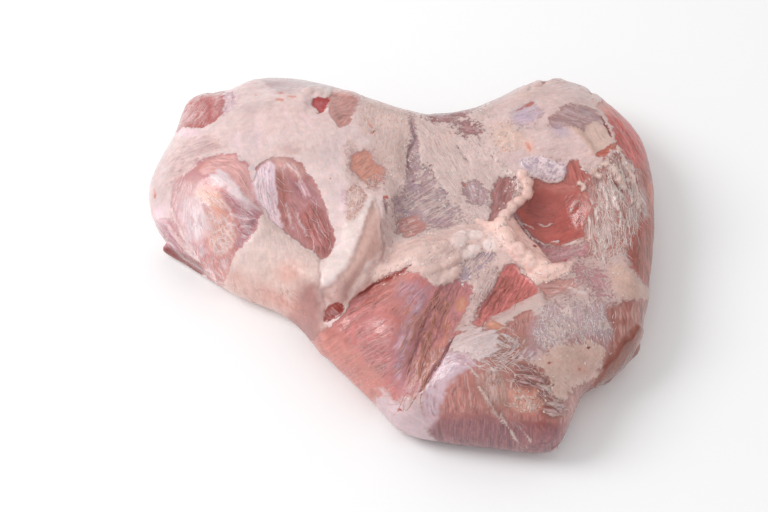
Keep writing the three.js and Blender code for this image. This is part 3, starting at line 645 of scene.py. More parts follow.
# Crumbs of torn fat, as the strands: `size` is half their length in millimetres, and `long` how many times
# longer than wide they are.
CRUMBS = [
    ("torn middle", dict(count=252, size=(0.5, 1.5), long=1.6, clumps=-0.1, way=60,
     tints="centre cream_dull shred streak"),
     "384,196 404,184 412,116 440,118 470,134 488,160 494,190 484,206 470,224 440,238 410,240 388,232"),
    ("seam", dict(count=102, size=(0.5, 1.4), long=1.4, clumps=-0.1, way=100,
     tints="cream_dull centre shred"),
     "372,100 404,100 414,120 410,168 396,190 384,196 380,160"),
    ("dusky back edge", dict(count=36, size=(0.5, 1.4), long=1.6, clumps=0.0, way=10,
     tints="centre streak"),
     "416,90 470,86 478,104 440,118 420,112"),
    ("peach crumbs", dict(count=66, size=(0.6, 1.6), long=1.2, clumps=-0.2, way=0,
     tints="peach peach_dull orange_light dome_fat"),
     "488,126 506,122 524,128 528,144 512,152 494,150"),
    ("rope", dict(count=54, size=(0.5, 1.4), long=1.3, clumps=-0.3, way=110,
     tints="rope shred_warm peach"),
     "500,205 514,174 530,170 534,196 516,212 500,226"),
    ("band below the rope", dict(count=90, size=(0.6, 1.7), long=1.4, clumps=-0.3, way=45,
     tints="rope peach shred_warm white_fat"),
     "486,224 510,222 548,262 572,264 560,280 530,280 500,246"),
    ("lumps", dict(count=156, size=(0.6, 2.0), long=1.6, clumps=-0.2, way=-35,
     tints="lump white_fat peach centre"),
     "362,280 400,240 440,232 490,236 510,258 482,292 452,280 416,272 372,290"),
    ("shreds", dict(count=78, size=(0.6, 2.0), long=2.2, clumps=-0.1, way=60, tints="shred_warm shred"),
     "578,170 612,150 632,170 640,212 628,196 606,178 590,186"),
    ("fat at the right", dict(count=120, size=(0.5, 1.6), long=1.5, clumps=-0.1, way=40,
     tints="dull shred_dull peach_dull"),
     "560,266 606,262 624,252 650,296 640,306 604,300 566,290"),
    # The silvery white crumbs of the shoulder are partly crumbs and partly painted highlights.
    ("shoulder", dict(count=90, size=(0.35, 0.8), long=1.3, clumps=-0.1, way=84,
     tints="silver_white shred"),
     "540,304 600,300 614,328 600,342 540,346"),
    ("middle of the lobe", dict(count=42, size=(0.5, 1.6), long=1.6, clumps=-0.2, way=60,
     tints="orange peach sinew tan_light"),
     "508,392 524,386 546,396 542,414 520,412"),
    ("fat of the lobe", dict(count=48, size=(0.5, 1.4), long=1.5, clumps=-0.1, way=30,
     tints="tan_light shred"),
     "520,360 552,346 606,340 608,366 560,402 544,384"),
    ("back rim", dict(count=54, size=(0.6, 1.8), long=1.5, clumps=-0.1, way=0,
     tints="dome_fat peach cream"),
     "480,84 520,68 560,58 600,84 612,104 590,92 540,80 500,96"),
    ("streak of fat", dict(count=36, size=(0.5, 1.5), long=2.0, clumps=-0.2, way=118,
     tints="streak shred"),
     "470,300 490,270 500,276 484,310 470,326"),
]

# The colours of the meat, each as six hex digits of how it looks under white light. A few also carry painted
# light,
# as their names say: painted shade and shadow in darker ones, painted highlights and lit faces in lighter
# ones.
TINTS = dict(
    cream="e6cecc", cream_pink="e6c6bf", cream_dull="dcc1b9", white_fat="f0dcd8", beige="d4afa6",
    beige_dark="c39a93", fold="e2c9c2", fold_pink="d89d91", tip="aa7b77", crease="b88d86",
    centre="d9c0ba", lump="e2c4bc", rope="f6d0c5", streak="d2bab4", dull="c9aea8", dome_fat="d7bdba",
    silver="d6c2c1", tan="c9a99d", tan_light="d9b9ad", corner="d1b8bc", grey_film_and_shadow="c0a6a6",
    shred="e6d3ce", silver_white="ead4d6", silver_blue="efd0d8", silver_violet="bba4b4",
    globe_pink="c5878b", salmon_light="e1aba8", orange_light="e0ab98", plum="ba8287", plum_pale="c19598",
    plum_pink="b1797f", plum_rose="b07a7e", plum_dark="9c6468", pink="c7837d", rose="be8786",
    salmon="d09c96", brick="b2716a", brown_pink="a76763", coral="b65b58", orange="d09182",
    red_brown="923830", dusky="af8e91", dusky_pink="9a6b6c", dusky_mauve="a98485", brown="bb837b",
    red="be766e", red_pink="c08a82", deep_red="b75f57", red_light="c5524a", red_dark="a05f54",
    red_film="a8736c", front_pink="c37a78", purple="bf7f82", purple_and_groove_shade="895157", lobe="b37770",
    lobe_underside_shade="8f6168", lobe_brown="a67a70", right_pink="a6695f", cut_brown_and_shade="8c5040", cut_red_and_shade="8a4644",
    seam_dark="a27d83", seam_red="a8483e", sinew="c4846c", vivid="c8503e", vivid_dull="b9614f",
    globe_orange="d59d91", peach="dcbcb0", peach_dull="d2b0a2", salmon_dusky="c48c85",
    coral_dark="b45f5b", dusky_red="a86f6b", pocket_red_and_shade="a55e59", red_pale="c07166", shred_dull="d3bbb4",
    shred_warm="dfc2b8", front_red="bd6f66", front_salmon="c68179", sinew_dull="b8806c",
    strip_red="cd7976", lobe_pale="cfa8a2", brown_dark="92605a", mauve="bb9b9f", right_pale="cfaaa2",
    rim_red="b05746", vessel_red="b54849", vivid_pale="d9836c", left_fat_painted_shade="ceb5b4", silver_dull="cbafb7",
    blood="ae2420", blood_dark="7c2c28",
)


class Ham_PG_Tints(PropertyGroup):
    """The colours of the meat, each as it looks under white light; a few also carry painted shade and painted
    highlights.
    """

    __annotations__ = {
        name: FloatVectorProperty(
            name=name.replace("_", " ").capitalize(),
            description=f"Colour of what the tables of areas call {name}",
            subtype="COLOR",
            size=3,
            min=0,
            max=1,
            default=linear(shade),
        )
        for name, shade in TINTS.items()
    }


class Ham_PG_Form(PropertyGroup):
    """The sizes of the ham's surface."""

    voxel: FloatProperty(
        name="Cell size",
        description="Edge of the surface's cells",
        unit="LENGTH",
        default=1.45 * MM,
        min=0.5 * MM,
    )
    triangles: IntProperty(
        name="Triangles",
        description="Triangles kept, most of them on the side shown",
        default=196000,
        min=1000,
    )
    smoothing: IntProperty(
        name="Smoothing", description="Rounds that take the facets out of the form", default=16, min=0
    )
    lobule_mm: FloatProperty(
        name="Lobule", description="Width of a fat lobule, in millimetres", default=4.0, min=1
    )
    lump_mm: FloatProperty(
        name="Lump", description="Width of a loose lump of fat, in millimetres", default=9, min=3
    )
    fibre_mm: FloatProperty(
        name="Fibre", description="Width of a bundle of fibres, in millimetres", default=3.0, min=1
    )


class Ham_PG_Stage(PropertyGroup):
    """The floor and the lights."""

    floor_colour: FloatVectorProperty(
        name="Floor", description="Colour of the floor", subtype="COLOR", size=3, default=(0.96, 0.96, 0.965)
    )
    sky: FloatProperty(name="Sky", description="Strength of the light from all around", default=0.74, min=0)
    mirrored: FloatProperty(
        name="Mirrored sky", description="Share of the sky that wet surfaces mirror", default=0.35, min=0
    )
    key: FloatProperty(name="Key", description="Power of the large light", unit="POWER", default=30, min=0)


# ---- Random fields and distances, in numpy ----


def lattice_noise(place, size, seed):
    """Smooth random values from -1 to 1 that change over about `size`, in the units of `place`. Each pattern
    has a seed of its own."""
    at = place / size + 17.3 * seed
    cell = np.floor(at).astype(np.int64)
    part = at - cell
    part = part * part * (3 - 2 * part)
    total = np.zeros(len(place))
    for corner in np.ndindex(2, 2, 2):
        weight = np.prod(np.where(corner, part, 1 - part), axis=1)
        total += weight * cell_value(cell + corner, seed)
    return total


def cell_value(cell, seed):
    """A random value from -1 to 1 for each cell of a grid."""
    mixed = cell[:, 0] * 374761393 + cell[:, 1] * 668265263 + cell[:, 2] * 982451653 + seed * 1442695041
    mixed = (mixed ^ (mixed >> 13)) * 1274126177
    mixed = mixed ^ (mixed >> 16)
    return (mixed & 0xFFFF) / 32767.5 - 1


def cloud_noise(place, size, seed, octaves=3):
    """Noise with ever finer detail, from about -1 to 1."""
    total = np.zeros(len(place))
    for octave in range(octaves):
        total += lattice_noise(place, size / 2**octave, seed + 31 * octave) / 2**octave
    return total / 1.5


def cells(place, size, seed):
    """Distances to the nearest and second nearest of scattered seeds, in cell sizes."""
    at = place / size
    home = np.floor(at).astype(np.int64)
    nearest = np.full(len(place), 9.0)
    second = np.full(len(place), 9.0)
    for step in np.ndindex(3, 3, 3):
        cell = home + step - 1
        jitter = np.stack([cell_value(cell, seed + axis) for axis in (1, 2, 3)], axis=1)
        distance = np.linalg.norm(cell + 0.5 + 0.42 * jitter - at, axis=1)
        second = np.minimum(second, np.maximum(nearest, distance))
        nearest = np.minimum(nearest, distance)
    return nearest, second


def smooth_step(value, low, high):
    share = np.clip((value - low) / (high - low), 0, 1)
    return share * share * (3 - 2 * share)


def points_of(text):
    """The points that a line of text gives as x,y pairs."""
    return np.array([[float(part) for part in pair.split(",")] for pair in text.split()])


def smooth_path(points, closed, steps=5):
    """A smooth line through points. At each point it runs the way from the point before to the one after."""
    count = len(points)
    line = []
    for i in range(count if closed else count - 1):
        around = [(i + k) % count if closed else min(max(i + k, 0), count - 1) for k in (-1, 0, 1, 2)]
        p0, p1, p2, p3 = points[around]
        for t in np.arange(steps) / steps:
            bend = (2 * p0 - 5 * p1 + 4 * p2 - p3) * t**2 + (3 * p1 - p0 - 3 * p2 + p3) * t**3
            line.append(0.5 * (2 * p1 + (p2 - p0) * t + bend))
    if not closed:
        line.append(points[-1])
    return np.array(line)


def distance_to_line(at, line, closed):
    """How far each point is from a line, and how far along the line its nearest place is, from 0 to 1."""
    ends = np.roll(line, -1, axis=0) if closed else line[1:]
    starts = line if closed else line[:-1]
    best = np.full(len(at), 1e9)
    along = np.zeros(len(at))
    for i, (a, b) in enumerate(zip(starts, ends)):
        run = b - a
        off = at - a
        share = np.clip(off @ run / max(run @ run, 1e-9), 0, 1)
        distance = np.hypot(off[:, 0] - share * run[0], off[:, 1] - share * run[1])
        nearer = distance < best
        best[nearer] = distance[nearer]
        along[nearer] = (i + share[nearer]) / len(starts)
    return best, along


def depth_inside(at, outline):
    """How far inside a closed outline each point is. Outside, it is negative."""
    inside = np.zeros(len(at), bool)
    for (ax, ay), (bx, by) in zip(outline, np.roll(outline, -1, axis=0)):
        if ay == by:
            continue
        crosses = (ay > at[:, 1]) != (by > at[:, 1])
        inside ^= crosses & (at[:, 0] < (bx - ax) * (at[:, 1] - ay) / (by - ay) + ax)
    distance = distance_to_line(at, outline, True)[0]
    return np.where(inside, distance, -distance)


# ---- The ham's surface ----

EDGE_WAVES = ((9.0, 1.3, 3), (3.6, 0.8, 5))  # size in mm, reach in pixels and seed of an outline's waves
HIDDEN_REACH = 60  # pixels beyond the outline at which the far sides read the photograph's frame
PATCH_MARGIN = 14  # pixels outside an outline that its edge can still reach
GRAIN_SHIFT = 7.0  # how far apart two areas read the fibres' noise
TURN_MM = 60  # millimetres of grain in one radian round a point

# The traits of the surface, with the values where no area lies.
TRAITS = dict(
    cover=0.8, torn=0.6, fibre=0.3, lobules=0.6, gloss=0.35, crackle=0.0, stain=0.1, lumps=0.0, mixed=0.3
)

# Heights of the relief that no outline gives, in millimetres.
LOBULE_HEIGHT = 0.15
LUMP_HEIGHT = 1.7
BUNDLE_HEIGHT = 0.3
WAVE_HEIGHT = 1.0
RIPPLE_HEIGHT = 0.2
CRUMB_HEIGHT = 0.9


class Surface:
    """The ham's fine mesh with all that is painted and shaped on it."""

    def __init__(self, vertices, faces, tints):
        self.place = vertices / MM
        self.edges = np.concatenate([faces[:, [0, 1]], faces[:, [1, 2]], faces[:, [2, 0]]])
        self.tints = tints
        count = len(vertices)
        self.normals = vertex_normals(vertices, faces)
        self.lean = np.tile(self.tint("lobe"), (count, 1))
        self.fat = np.tile(self.tint("dull"), (count, 1))
        self.other = np.tile(self.tint("lobe_pale"), (count, 1))
        self.lift = np.zeros(count)
        self.domes = np.zeros(count)
        for trait, value in TRAITS.items():
            setattr(self, trait, np.full(count, value))
        self.pixels, self.facing = seen_pixels(vertices, self.normals)
        self.view = self.pixels.copy()
        for size, reach, seed in EDGE_WAVES:
            for axis in (0, 1):
                self.pixels[:, axis] += reach * lattice_noise(self.place, size, seed + axis)
        self.grain = self.grain_of(0, 0)
        self.ragged = 1.5 * lattice_noise(self.place, 5.5, 8) + 1.0 * lattice_noise(self.place, 2.6, 9)
        self.softer = 1 + 0.6 * lattice_noise(self.place, 16, 10)
        self.under = smooth_step(-self.normals[:, 2], 0.55, 0.85)

    def tint(self, name):
        return np.array(getattr(self.tints, name))

    def grain_of(self, rule, seed):
        """Where each point lies along and across its fibres, in millimetres."""
        if isinstance(rule, tuple):
            kind, middle = rule
            offset = (self.view - middle) * MM_PER_PIXEL
            reach = np.hypot(*offset.T)
            turn = np.arctan2(offset[:, 1], offset[:, 0]) * TURN_MM
            pair = (reach, turn) if kind == "fan" else (turn, reach)
        else:
            angle = math.radians(rule)
            x, y = self.view.T * MM_PER_PIXEL
            pair = (x * math.cos(angle) + y * math.sin(angle), y * math.cos(angle) - x * math.sin(angle))
        return np.stack([*pair, np.full(len(self.pixels), GRAIN_SHIFT * seed)], axis=1)

    def near(self, line, margin):
        """The points whose pixel lies within a margin of a line's box."""
        low = line.min(0) - margin
        high = line.max(0) + margin
        return np.flatnonzero(np.all((self.pixels > low) & (self.pixels < high), axis=1))

    def lay(self, which, weight, look, seed=0):
        """Mixes a look into the points `which`, by a weight from 0 to 1."""
        for part in ("lean", "fat", "other"):
            if part in look:
                mine = getattr(self, part)
                mine[which] += weight[:, None] * (self.tint(look[part]) - mine[which])
        for trait in TRAITS:
            if trait in look:
                mine = getattr(self, trait)
                mine[which] += weight * (look[trait] - mine[which])
        if "grain" in look:
            over = which[weight > 0.5]
            self.grain[over] = self.grain_of(look["grain"], seed)[over]

    def patch(self, kind, look, outline, seed):
        outline = smooth_path(points_of(outline), True)
        which = self.near(outline, PATCH_MARGIN)
        depth = depth_inside(self.pixels[which], outline)
        soft = look["soft"] * self.softer[which]
        rough = depth + self.ragged[which]
        if "fringe" in look and "grain" in look:
            grain = self.grain_of(look["grain"], seed)[which] / (14, 2.6, 1)
            rough += look["fringe"] * lattice_noise(grain, 1, 20 + seed)
        look = {"lumps": 0.0, "other": "silver_white", **KINDS[kind], **look}
        self.lay(which, smooth_step(rough, -soft, soft), look, seed)
        bevel = look.get("bevel", max(look["soft"], 3))
        self.lift[which] += look.get("lift", 0) * smooth_step(depth, -bevel, bevel)
        self.lift[which] += look.get("bulge", 0) * smooth_step(depth, 0, 10)

    def stroke(self, look, path):
        line = smooth_path(points_of(path), False)
        which = self.near(line, 3 * look["half"])
        distance, along = distance_to_line(self.pixels[which], line, False)
        taper = np.clip(4 * np.minimum(along, 1 - along) + 0.3, 0, 1)
        uneven = 1 + look.get("wild", 0.3) * lattice_noise(self.place[which], 4.5, 12)
        half = look["half"] * taper * np.clip(uneven, 0.25, 2)
        share = look.get("share", 1) * smooth_step(-distance, -1.4 * half, -0.4 * half)
        self.lay(which, share, look)
        self.lift[which] += look["lift"] * taper * uneven * np.exp(-((distance / (0.85 * half)) ** 2))

    def across_oval(self, which, x, y, half_length, half_width, degrees):
        """How far out each point lies from the middle of an oval, as a share of its reach."""
        angle = math.radians(degrees)
        off = self.pixels[which] - (x, y)
        along = (off[:, 0] * math.cos(angle) + off[:, 1] * math.sin(angle)) / half_length
        across = (off[:, 1] * math.cos(angle) - off[:, 0] * math.sin(angle)) / half_width
        return np.hypot(along, across)

    def lump(self, tint, x, y, half_length, half_width, degrees, height):
        which = self.near(np.array([(x, y)]), 1.5 * half_length + 2)
        out = self.across_oval(which, x, y, half_length, half_width, degrees) + 0.1 * self.ragged[which]
        dome = height * np.sqrt(np.clip(1 - out**2, 0, 1))
        self.domes[which] = np.maximum(self.domes[which], dome)
        look = dict(fat=tint, cover=1.0, torn=0.3, fibre=0.1)
        self.lay(which, 0.85 * smooth_step(-out, -1.1, -0.7), look)

    def swell(self, x, y, half_length, half_width, degrees, height):
        out = self.across_oval(slice(None), x, y, half_length, half_width, degrees)
        self.lift += height * np.exp(-(out**2))

    def spot(self, x, y, radius, tint):
        which = self.near(np.array([(x, y)]), 2 * radius)
        distance = np.hypot(*(self.pixels[which] - (x, y)).T)
        weight = smooth_step(-distance, -1.3 * radius, -0.5 * radius)
        self.lay(which, 0.8 * weight, dict(lean=tint, cover=0.0, fibre=0.0, gloss=0.7))
        self.lift[which] -= 0.2 * weight

    def blush(self, x, y, half_length, half_width, degrees, tint, share):
        out = self.across_oval(slice(None), x, y, half_length, half_width, degrees)
        which = np.flatnonzero(out < 2.2)
        ragged = 1 + 0.5 * cloud_noise(self.place[which], 8, 90)
        weight = np.clip(share * np.exp(-(out[which] ** 2)) * ragged, 0, 1)
        self.lay(which, weight, dict(lean=tint, fat=tint))

    def fade_at_joins(self):
        """Takes the fibres away where two areas with different grain meet."""
        starts, ends = self.edges.T
        leap = np.linalg.norm(self.grain[starts] - self.grain[ends], axis=1)
        reach = np.linalg.norm(self.place[starts] - self.place[ends], axis=1)
        keep = np.ones(len(self.place))
        keep[self.edges[leap > 2.5 * reach + 1].ravel()] = 0
        for _ in range(2):
            lowest = keep.copy()
            np.minimum.at(lowest, starts, 0.5 + 0.5 * keep[ends])
            np.minimum.at(lowest, ends, 0.5 + 0.5 * keep[starts])
            keep = lowest
        self.fibre *= keep
        self.crackle *= keep
        self.joined = keep

    def thin_out(self):
        """Varies the cover where it is thin, and the shade of the meat everywhere."""
        thin = 4 * self.cover * (1 - self.cover)
        ragged = 0.6 * cloud_noise(self.place, 12.0, 41) + 0.4 * cloud_noise(self.place, 4.5, 42, 2)
        self.cover = np.clip(self.cover + ragged * (0.3 + 0.4 * self.torn) * thin, 0, 1)
        self.lift += 0.4 * self.cover * thin
        pinker = smooth_step(cloud_noise(self.place, 30, 46), 0, 0.9)[:, None]
        cooler = smooth_step(cloud_noise(self.place, 24, 47), 0.1, 0.9)[:, None]
        self.fat += 0.35 * pinker * (self.fat * (1.0, 0.88, 0.84) - self.fat)
        self.fat += 0.5 * cooler * (self.fat * (0.92, 0.93, 1.0) - self.fat)
        slow = cloud_noise(self.place, 34, 43, 3)[:, None]
        warm = cloud_noise(self.place, 20, 44, 3)[:, None]
        self.fat *= 1 + 0.04 * slow
        fine = cloud_noise(self.place, 5.0, 48, 2)[:, None]
        self.fat *= 1 + 0.09 * self.torn[:, None] * fine * (0.8, 1.0, 1.1)
        self.lean *= 1 + 0.07 * slow + warm * (0.04, -0.03, -0.05)

    def add_relief(self, form):
        """The relief that no outline gives: lobules, lumps, bundles of fibres and slow waves."""
        self.lift += self.domes
        nearest, _ = cells(self.place + 1.2 * self.wobble(6.0, 50), form.lobule_mm, 60)
        self.lift += LOBULE_HEIGHT * self.lobules * self.cover * (1 - nearest**2)
        lumpy = np.flatnonzero(self.lumps > 0.02)
        place = (self.place + 4 * self.wobble(14.0, 53))[lumpy]
        nearest, second = cells(place, form.lump_mm, 64)
        self.lift[lumpy] += LUMP_HEIGHT * self.lumps[lumpy] * (smooth_step(second - nearest, 0, 0.6) - 0.4)
        bundles = self.grain / (30, form.fibre_mm, 1)
        self.lift += BUNDLE_HEIGHT * self.fibre * (1 - 0.5 * self.cover) * cloud_noise(bundles, 1, 70, 2)
        waves = WAVE_HEIGHT * cloud_noise(self.place, 24, 71, 2)
        self.lift += waves + RIPPLE_HEIGHT * cloud_noise(self.place, 9, 72, 2)
        crumbs = np.clip(cloud_noise(self.place, 4.5, 73, 2), 0, 1)
        self.lift += CRUMB_HEIGHT * self.torn * smooth_step(self.torn, 0.5, 0.9) * crumbs

    def wobble(self, size, seed):
        return np.stack([lattice_noise(self.place, size, seed + axis) for axis in range(3)], axis=1)

    def shaped(self):
        """The finished places, in metres, on or above the floor."""
        place = self.place + self.normals * (self.lift * (1 - self.under))[:, None]
        place[:, 2] = np.maximum(place[:, 2], 0)
        return place * MM

    def store_on(self, mesh):
        store(mesh, "lean_tint", self.lean, self.torn)
        store(mesh, "fat_tint", self.fat, self.stain * self.joined)
        store(mesh, "traits", np.stack([self.cover, self.fibre, self.gloss], axis=1), self.crackle)
        store(mesh, "other_tint", self.other, self.mixed * self.joined)
        grain = mesh.attributes.new("grain", "FLOAT_VECTOR", "POINT")
        grain.data.foreach_set("vector", self.grain.astype(np.float32).ravel())


def store(mesh, name, colour, alpha):
    values = np.hstack([colour, alpha[:, None]]).astype(np.float32)
    mesh.attributes.new(name, "FLOAT_COLOR", "POINT").data.foreach_set("color", values.ravel())


def seen_pixels(vertices, normals):
    """Where the camera sees each point, in the photograph's pixels, and how squarely each faces it. What
    faces away is carried outwards past the outline, so that nothing is painted twice."""
    ray = vertices - CAMERA_PLACE
    depth = ray @ LOOK
    width, height = PHOTO_SIZE
    x = width / 2 + FOCAL_PIXELS * ray[:, 0] / depth
    y = height / 2 - FOCAL_PIXELS * (ray @ LOOK_UP) / depth
    facing = -np.sum(normals * ray, axis=1) / np.linalg.norm(ray, axis=1)
    outward = vertices[:, :2] * (1, -math.sin(LOOK_DOWN))
    outward /= np.linalg.norm(outward, axis=1)[:, None] + 1e-9
    hidden = smooth_step(-facing, -0.05, 0.75)
    return np.stack([x, y], axis=1) + HIDDEN_REACH * hidden[:, None] * outward, facing


def vertex_normals(vertices, faces):
    corners = vertices[faces]
    across = np.cross(corners[:, 1] - corners[:, 0], corners[:, 2] - corners[:, 0])
    normals = np.zeros_like(vertices)
    for k in range(faces.shape[1]):
        for axis in range(3):
            normals[:, axis] += np.bincount(faces[:, k], across[:, axis], len(vertices))
    return normals / (np.linalg.norm(normals, axis=1)[:, None] + 1e-12)


TOWARDS, BACK = 0.6, -0.61  # the shares of the two moves of a round of smoothing


def smoothed(vertices, faces, rounds):
    """Moves each point towards the middle of its neighbours, then most of the way back, so that facets go
    and the form stays."""
    sides = faces.shape[1]
    pairs = np.concatenate([faces[:, [k, (k + 1) % sides]] for k in range(sides)])
    pairs = np.concatenate([pairs, pairs[:, ::-1]])
    ways = np.bincount(pairs[:, 0], minlength=len(vertices))[:, None]
    flat = vertices[:, 2] < 0.05 * MM
    for round_number in range(2 * rounds):
        share = TOWARDS if round_number % 2 == 0 else BACK
        sums = [np.bincount(pairs[:, 0], vertices[pairs[:, 1], axis], len(vertices)) for axis in range(3)]
        moved = vertices + share * (np.stack(sums, axis=1) / ways - vertices)
        moved[flat, 2] = vertices[flat, 2]
        vertices = moved
    return vertices


def arrays_of(piece):
    """The points and triangles of a piece with its modifiers."""
    evaluated = piece.evaluated_get(bpy.context.evaluated_depsgraph_get())
    mesh = evaluated.to_mesh()
    vertices = np.empty(len(mesh.vertices) * 3)
    mesh.vertices.foreach_get("co", vertices)
    mesh.calc_loop_triangles()
    faces = np.empty(len(mesh.loop_triangles) * 3, np.int32)
    mesh.loop_triangles.foreach_get("vertices", faces)
    evaluated.to_mesh_clear()
    bpy.data.objects.remove(piece)
    return vertices.reshape(-1, 3), faces.reshape(-1, 3)


def passing_piece(mesh):
    piece = bpy.data.objects.new("passing", mesh)
    bpy.context.scene.collection.objects.link(piece)
    return piece


AWAY_LEVELS = 4  # steps in which the weight of the sides out of sight is written


def fine_form(form):
    """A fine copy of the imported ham, with even cells, fewer of them where the camera doesn't look."""
    merged = bmesh.new()
    merged.from_mesh(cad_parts["ham"].data)
    bmesh.ops.remove_doubles(merged, verts=merged.verts, dist=0.01 * MM)
    mesh = bpy.data.meshes.new("form")
    merged.to_mesh(mesh)
    merged.free()
    piece = passing_piece(mesh)
    rounder = piece.modifiers.new("Rounder", "SUBSURF")
    rounder.levels = rounder.render_levels = 1
    remesh = piece.modifiers.new("Cells", "REMESH")
    remesh.mode = "VOXEL"
    remesh.voxel_size = form.voxel
    vertices, faces = arrays_of(piece)
    vertices = smoothed(vertices, faces, form.smoothing)

    facing = seen_pixels(vertices, vertex_normals(vertices, faces))[1]
    away = 0.5 * smooth_step(-facing, -0.1, 0.1) + 0.5 * (vertices[:, 2] < 0.2 * MM)
    piece = passing_piece(mesh_from("form", vertices, faces))
    group = piece.vertex_groups.new(name="away")
    levels = np.ceil(away * AWAY_LEVELS).astype(int)
    for level in range(1, AWAY_LEVELS + 1):
        group.add(np.flatnonzero(levels == level).tolist(), level / AWAY_LEVELS, "REPLACE")
    thin = piece.modifiers.new("Thin", "DECIMATE")
    thin.ratio = min(1, form.triangles / len(faces))
    thin.vertex_group = group.name
    thin.vertex_group_factor = 1.0
    thin.use_collapse_triangulate = True
    return arrays_of(piece)


def mesh_from(name, vertices, faces):
    mesh = bpy.data.meshes.new(name)
    mesh.from_pydata(vertices.tolist(), [], faces.tolist())
    mesh.shade_smooth()
    return mesh


def add_piece(name, mesh, material):
    piece = bpy.data.objects.new(name, mesh)
    bpy.context.scene.collection.objects.link(piece)
    mesh.materials.clear()
    mesh.materials.append(material)
    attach(piece, "root")
    return piece


# ---- What lies on the surface: strands and crumbs ----

STRAND_POINTS = 7
STRAND_SIDES = 4
STRAND_SEED = 100
SUNK = 0.3  # how deep a strand lies in the flesh, as a share of its radius
CRUMB_DETAIL = 2
CRUMB_SEED = 200
CRUMB_ROUGHNESS = 0.5 * MM
CRUMB_BUMP_SIZE = 1.6 * MM
CRUMB_REACH = 3  # pixels over which a crumb's way is read off the flesh
SEEN_FACING = 0.05  # how squarely a point must face the camera for a pixel to fall on it
MISS_LIMIT = 2  # pixels beyond which a pixel counts as off the ham


class Finder:
    """Finds the place on the finished flesh that a pixel of the photograph shows."""

    def __init__(self):
        mesh = bpy.data.objects["ham_flesh"].data
        self.places = np.empty(len(mesh.vertices) * 3)
        mesh.vertices.foreach_get("co", self.places)
        self.places = self.places.reshape(-1, 3)
        faces = np.empty(len(mesh.polygons) * 3, np.int32)
        mesh.polygons.foreach_get("vertices", faces)
        self.normals = vertex_normals(self.places, faces.reshape(-1, 3))
        pixels, facing = seen_pixels(self.places, self.normals)
        self.tree = KDTree(len(self.places))
        for i in np.flatnonzero(facing > SEEN_FACING):
            self.tree.insert((*pixels[i], 0), i)
        self.tree.balance()

    def at(self, pixel):
        """The place and the outward direction at a pixel, and how many pixels off they are."""
        found = self.tree.find_n((*pixel, 0), 3)
        which = [index for _, index, _ in found]
        weights = np.array([1 / (distance + 0.1) for _, _, distance in found])
        weights /= weights.sum()
        return weights @ self.places[which], self.normals[which[0]], found[0][2]


def scattered(outline, count, clumps, draw):
    """Random pixels inside an outline, gathered in clumps."""
    outline = smooth_path(points_of(outline), True)
    tries = draw.uniform(outline.min(0), outline.max(0), (16 * count, 2))
    field = lattice_noise(np.column_stack([tries, np.full(len(tries), float(count))]), 9, 5)
    return tries[(depth_inside(tries, outline) > 0) & (field > clumps)][:count]


def way_at(rule, pixel):
    """The angle at which fibres run at a pixel, in radians."""
    if not isinstance(rule, tuple):
        return math.radians(rule)
    kind, middle = rule
    turn = math.atan2(pixel[1] - middle[1], pixel[0] - middle[0])
    return turn if kind == "fan" else turn + math.pi / 2


def shade_of(tints, names, draw):
    """One of the tints that a text names, a little lighter or darker."""
    names = names.split()
    tint = np.array(getattr(tints, names[draw.integers(len(names))]))
    return (*np.clip(tint * draw.uniform(0.9, 1.08), 0, 1), 1)


def strand_path(finder, look, start, draw):
    """The points and radii of one strand, which runs over the surface and tapers at both ends."""
    angle = way_at(look["way"], start) + math.radians(look["stray"]) * draw.normal(0, 0.6)
    bend = draw.normal(0, 0.1)
    length = draw.uniform(*look["length"]) / (STRAND_POINTS - 1)
    rise = look["rise"] * draw.uniform(0.3, 1.2)
    thick = draw.uniform(*look["radius"])
    pixel = np.array(start)
    points, radii = [], []
    for step in range(STRAND_POINTS):
        place, normal, miss = finder.at(pixel)
        if miss > MISS_LIMIT:
            return None
        arch = math.sin(math.pi * step / (STRAND_POINTS - 1))
        points.append(place + normal * (rise * arch - SUNK * thick) * MM)
        radii.append(thick * MM * (0.25 + 0.75 * arch**0.7) * draw.uniform(0.8, 1.2))
        angle += bend + draw.normal(0, 0.08)
        pixel += length * np.array((math.cos(angle), math.sin(angle)))
    reach = np.linalg.norm(np.diff(points, axis=0), axis=1)
    return None if reach.max() > 3 * length * MM_PER_PIXEL * MM + 2 * MM else (points, radii)


def fill_attribute(mesh, name, kind, key, values):
    mesh.attributes.new(name, kind, "POINT").data.foreach_set(key, np.array(values, np.float32).ravel())


def geometry_tree(name, inputs):
    """A geometry tree with its named inputs, and the two sockets that its nodes hang between."""
    tree = bpy.data.node_groups.new(name, "GeometryNodeTree")
    tree.interface.new_socket("Geometry", in_out="INPUT", socket_type="NodeSocketGeometry")
    for label, kind in inputs:
        tree.interface.new_socket(label, in_out="INPUT", socket_type="NodeSocket" + kind)
    tree.interface.new_socket("Geometry", in_out="OUTPUT", socket_type="NodeSocketGeometry")
    return tree, tree.nodes.new("NodeGroupInput").outputs, tree.nodes.new("NodeGroupOutput").inputs


def finish_tree(tree, geometry, material, end):
    """Shades smooth what a tree made and gives it its material."""
    geometry = add_node(tree, "GeometryNodeSetShadeSmooth", {"Geometry": geometry}).outputs[0]
    inputs = {"Geometry": geometry, "Material": material}
    tree.links.new(add_node(tree, "GeometryNodeSetMaterial", inputs).outputs[0], end["Geometry"])


def named(tree, name, kind):
    node = add_node(tree, "GeometryNodeInputNamedAttribute", {"Name": name}, data_type=kind)
    return node.outputs["Attribute"]


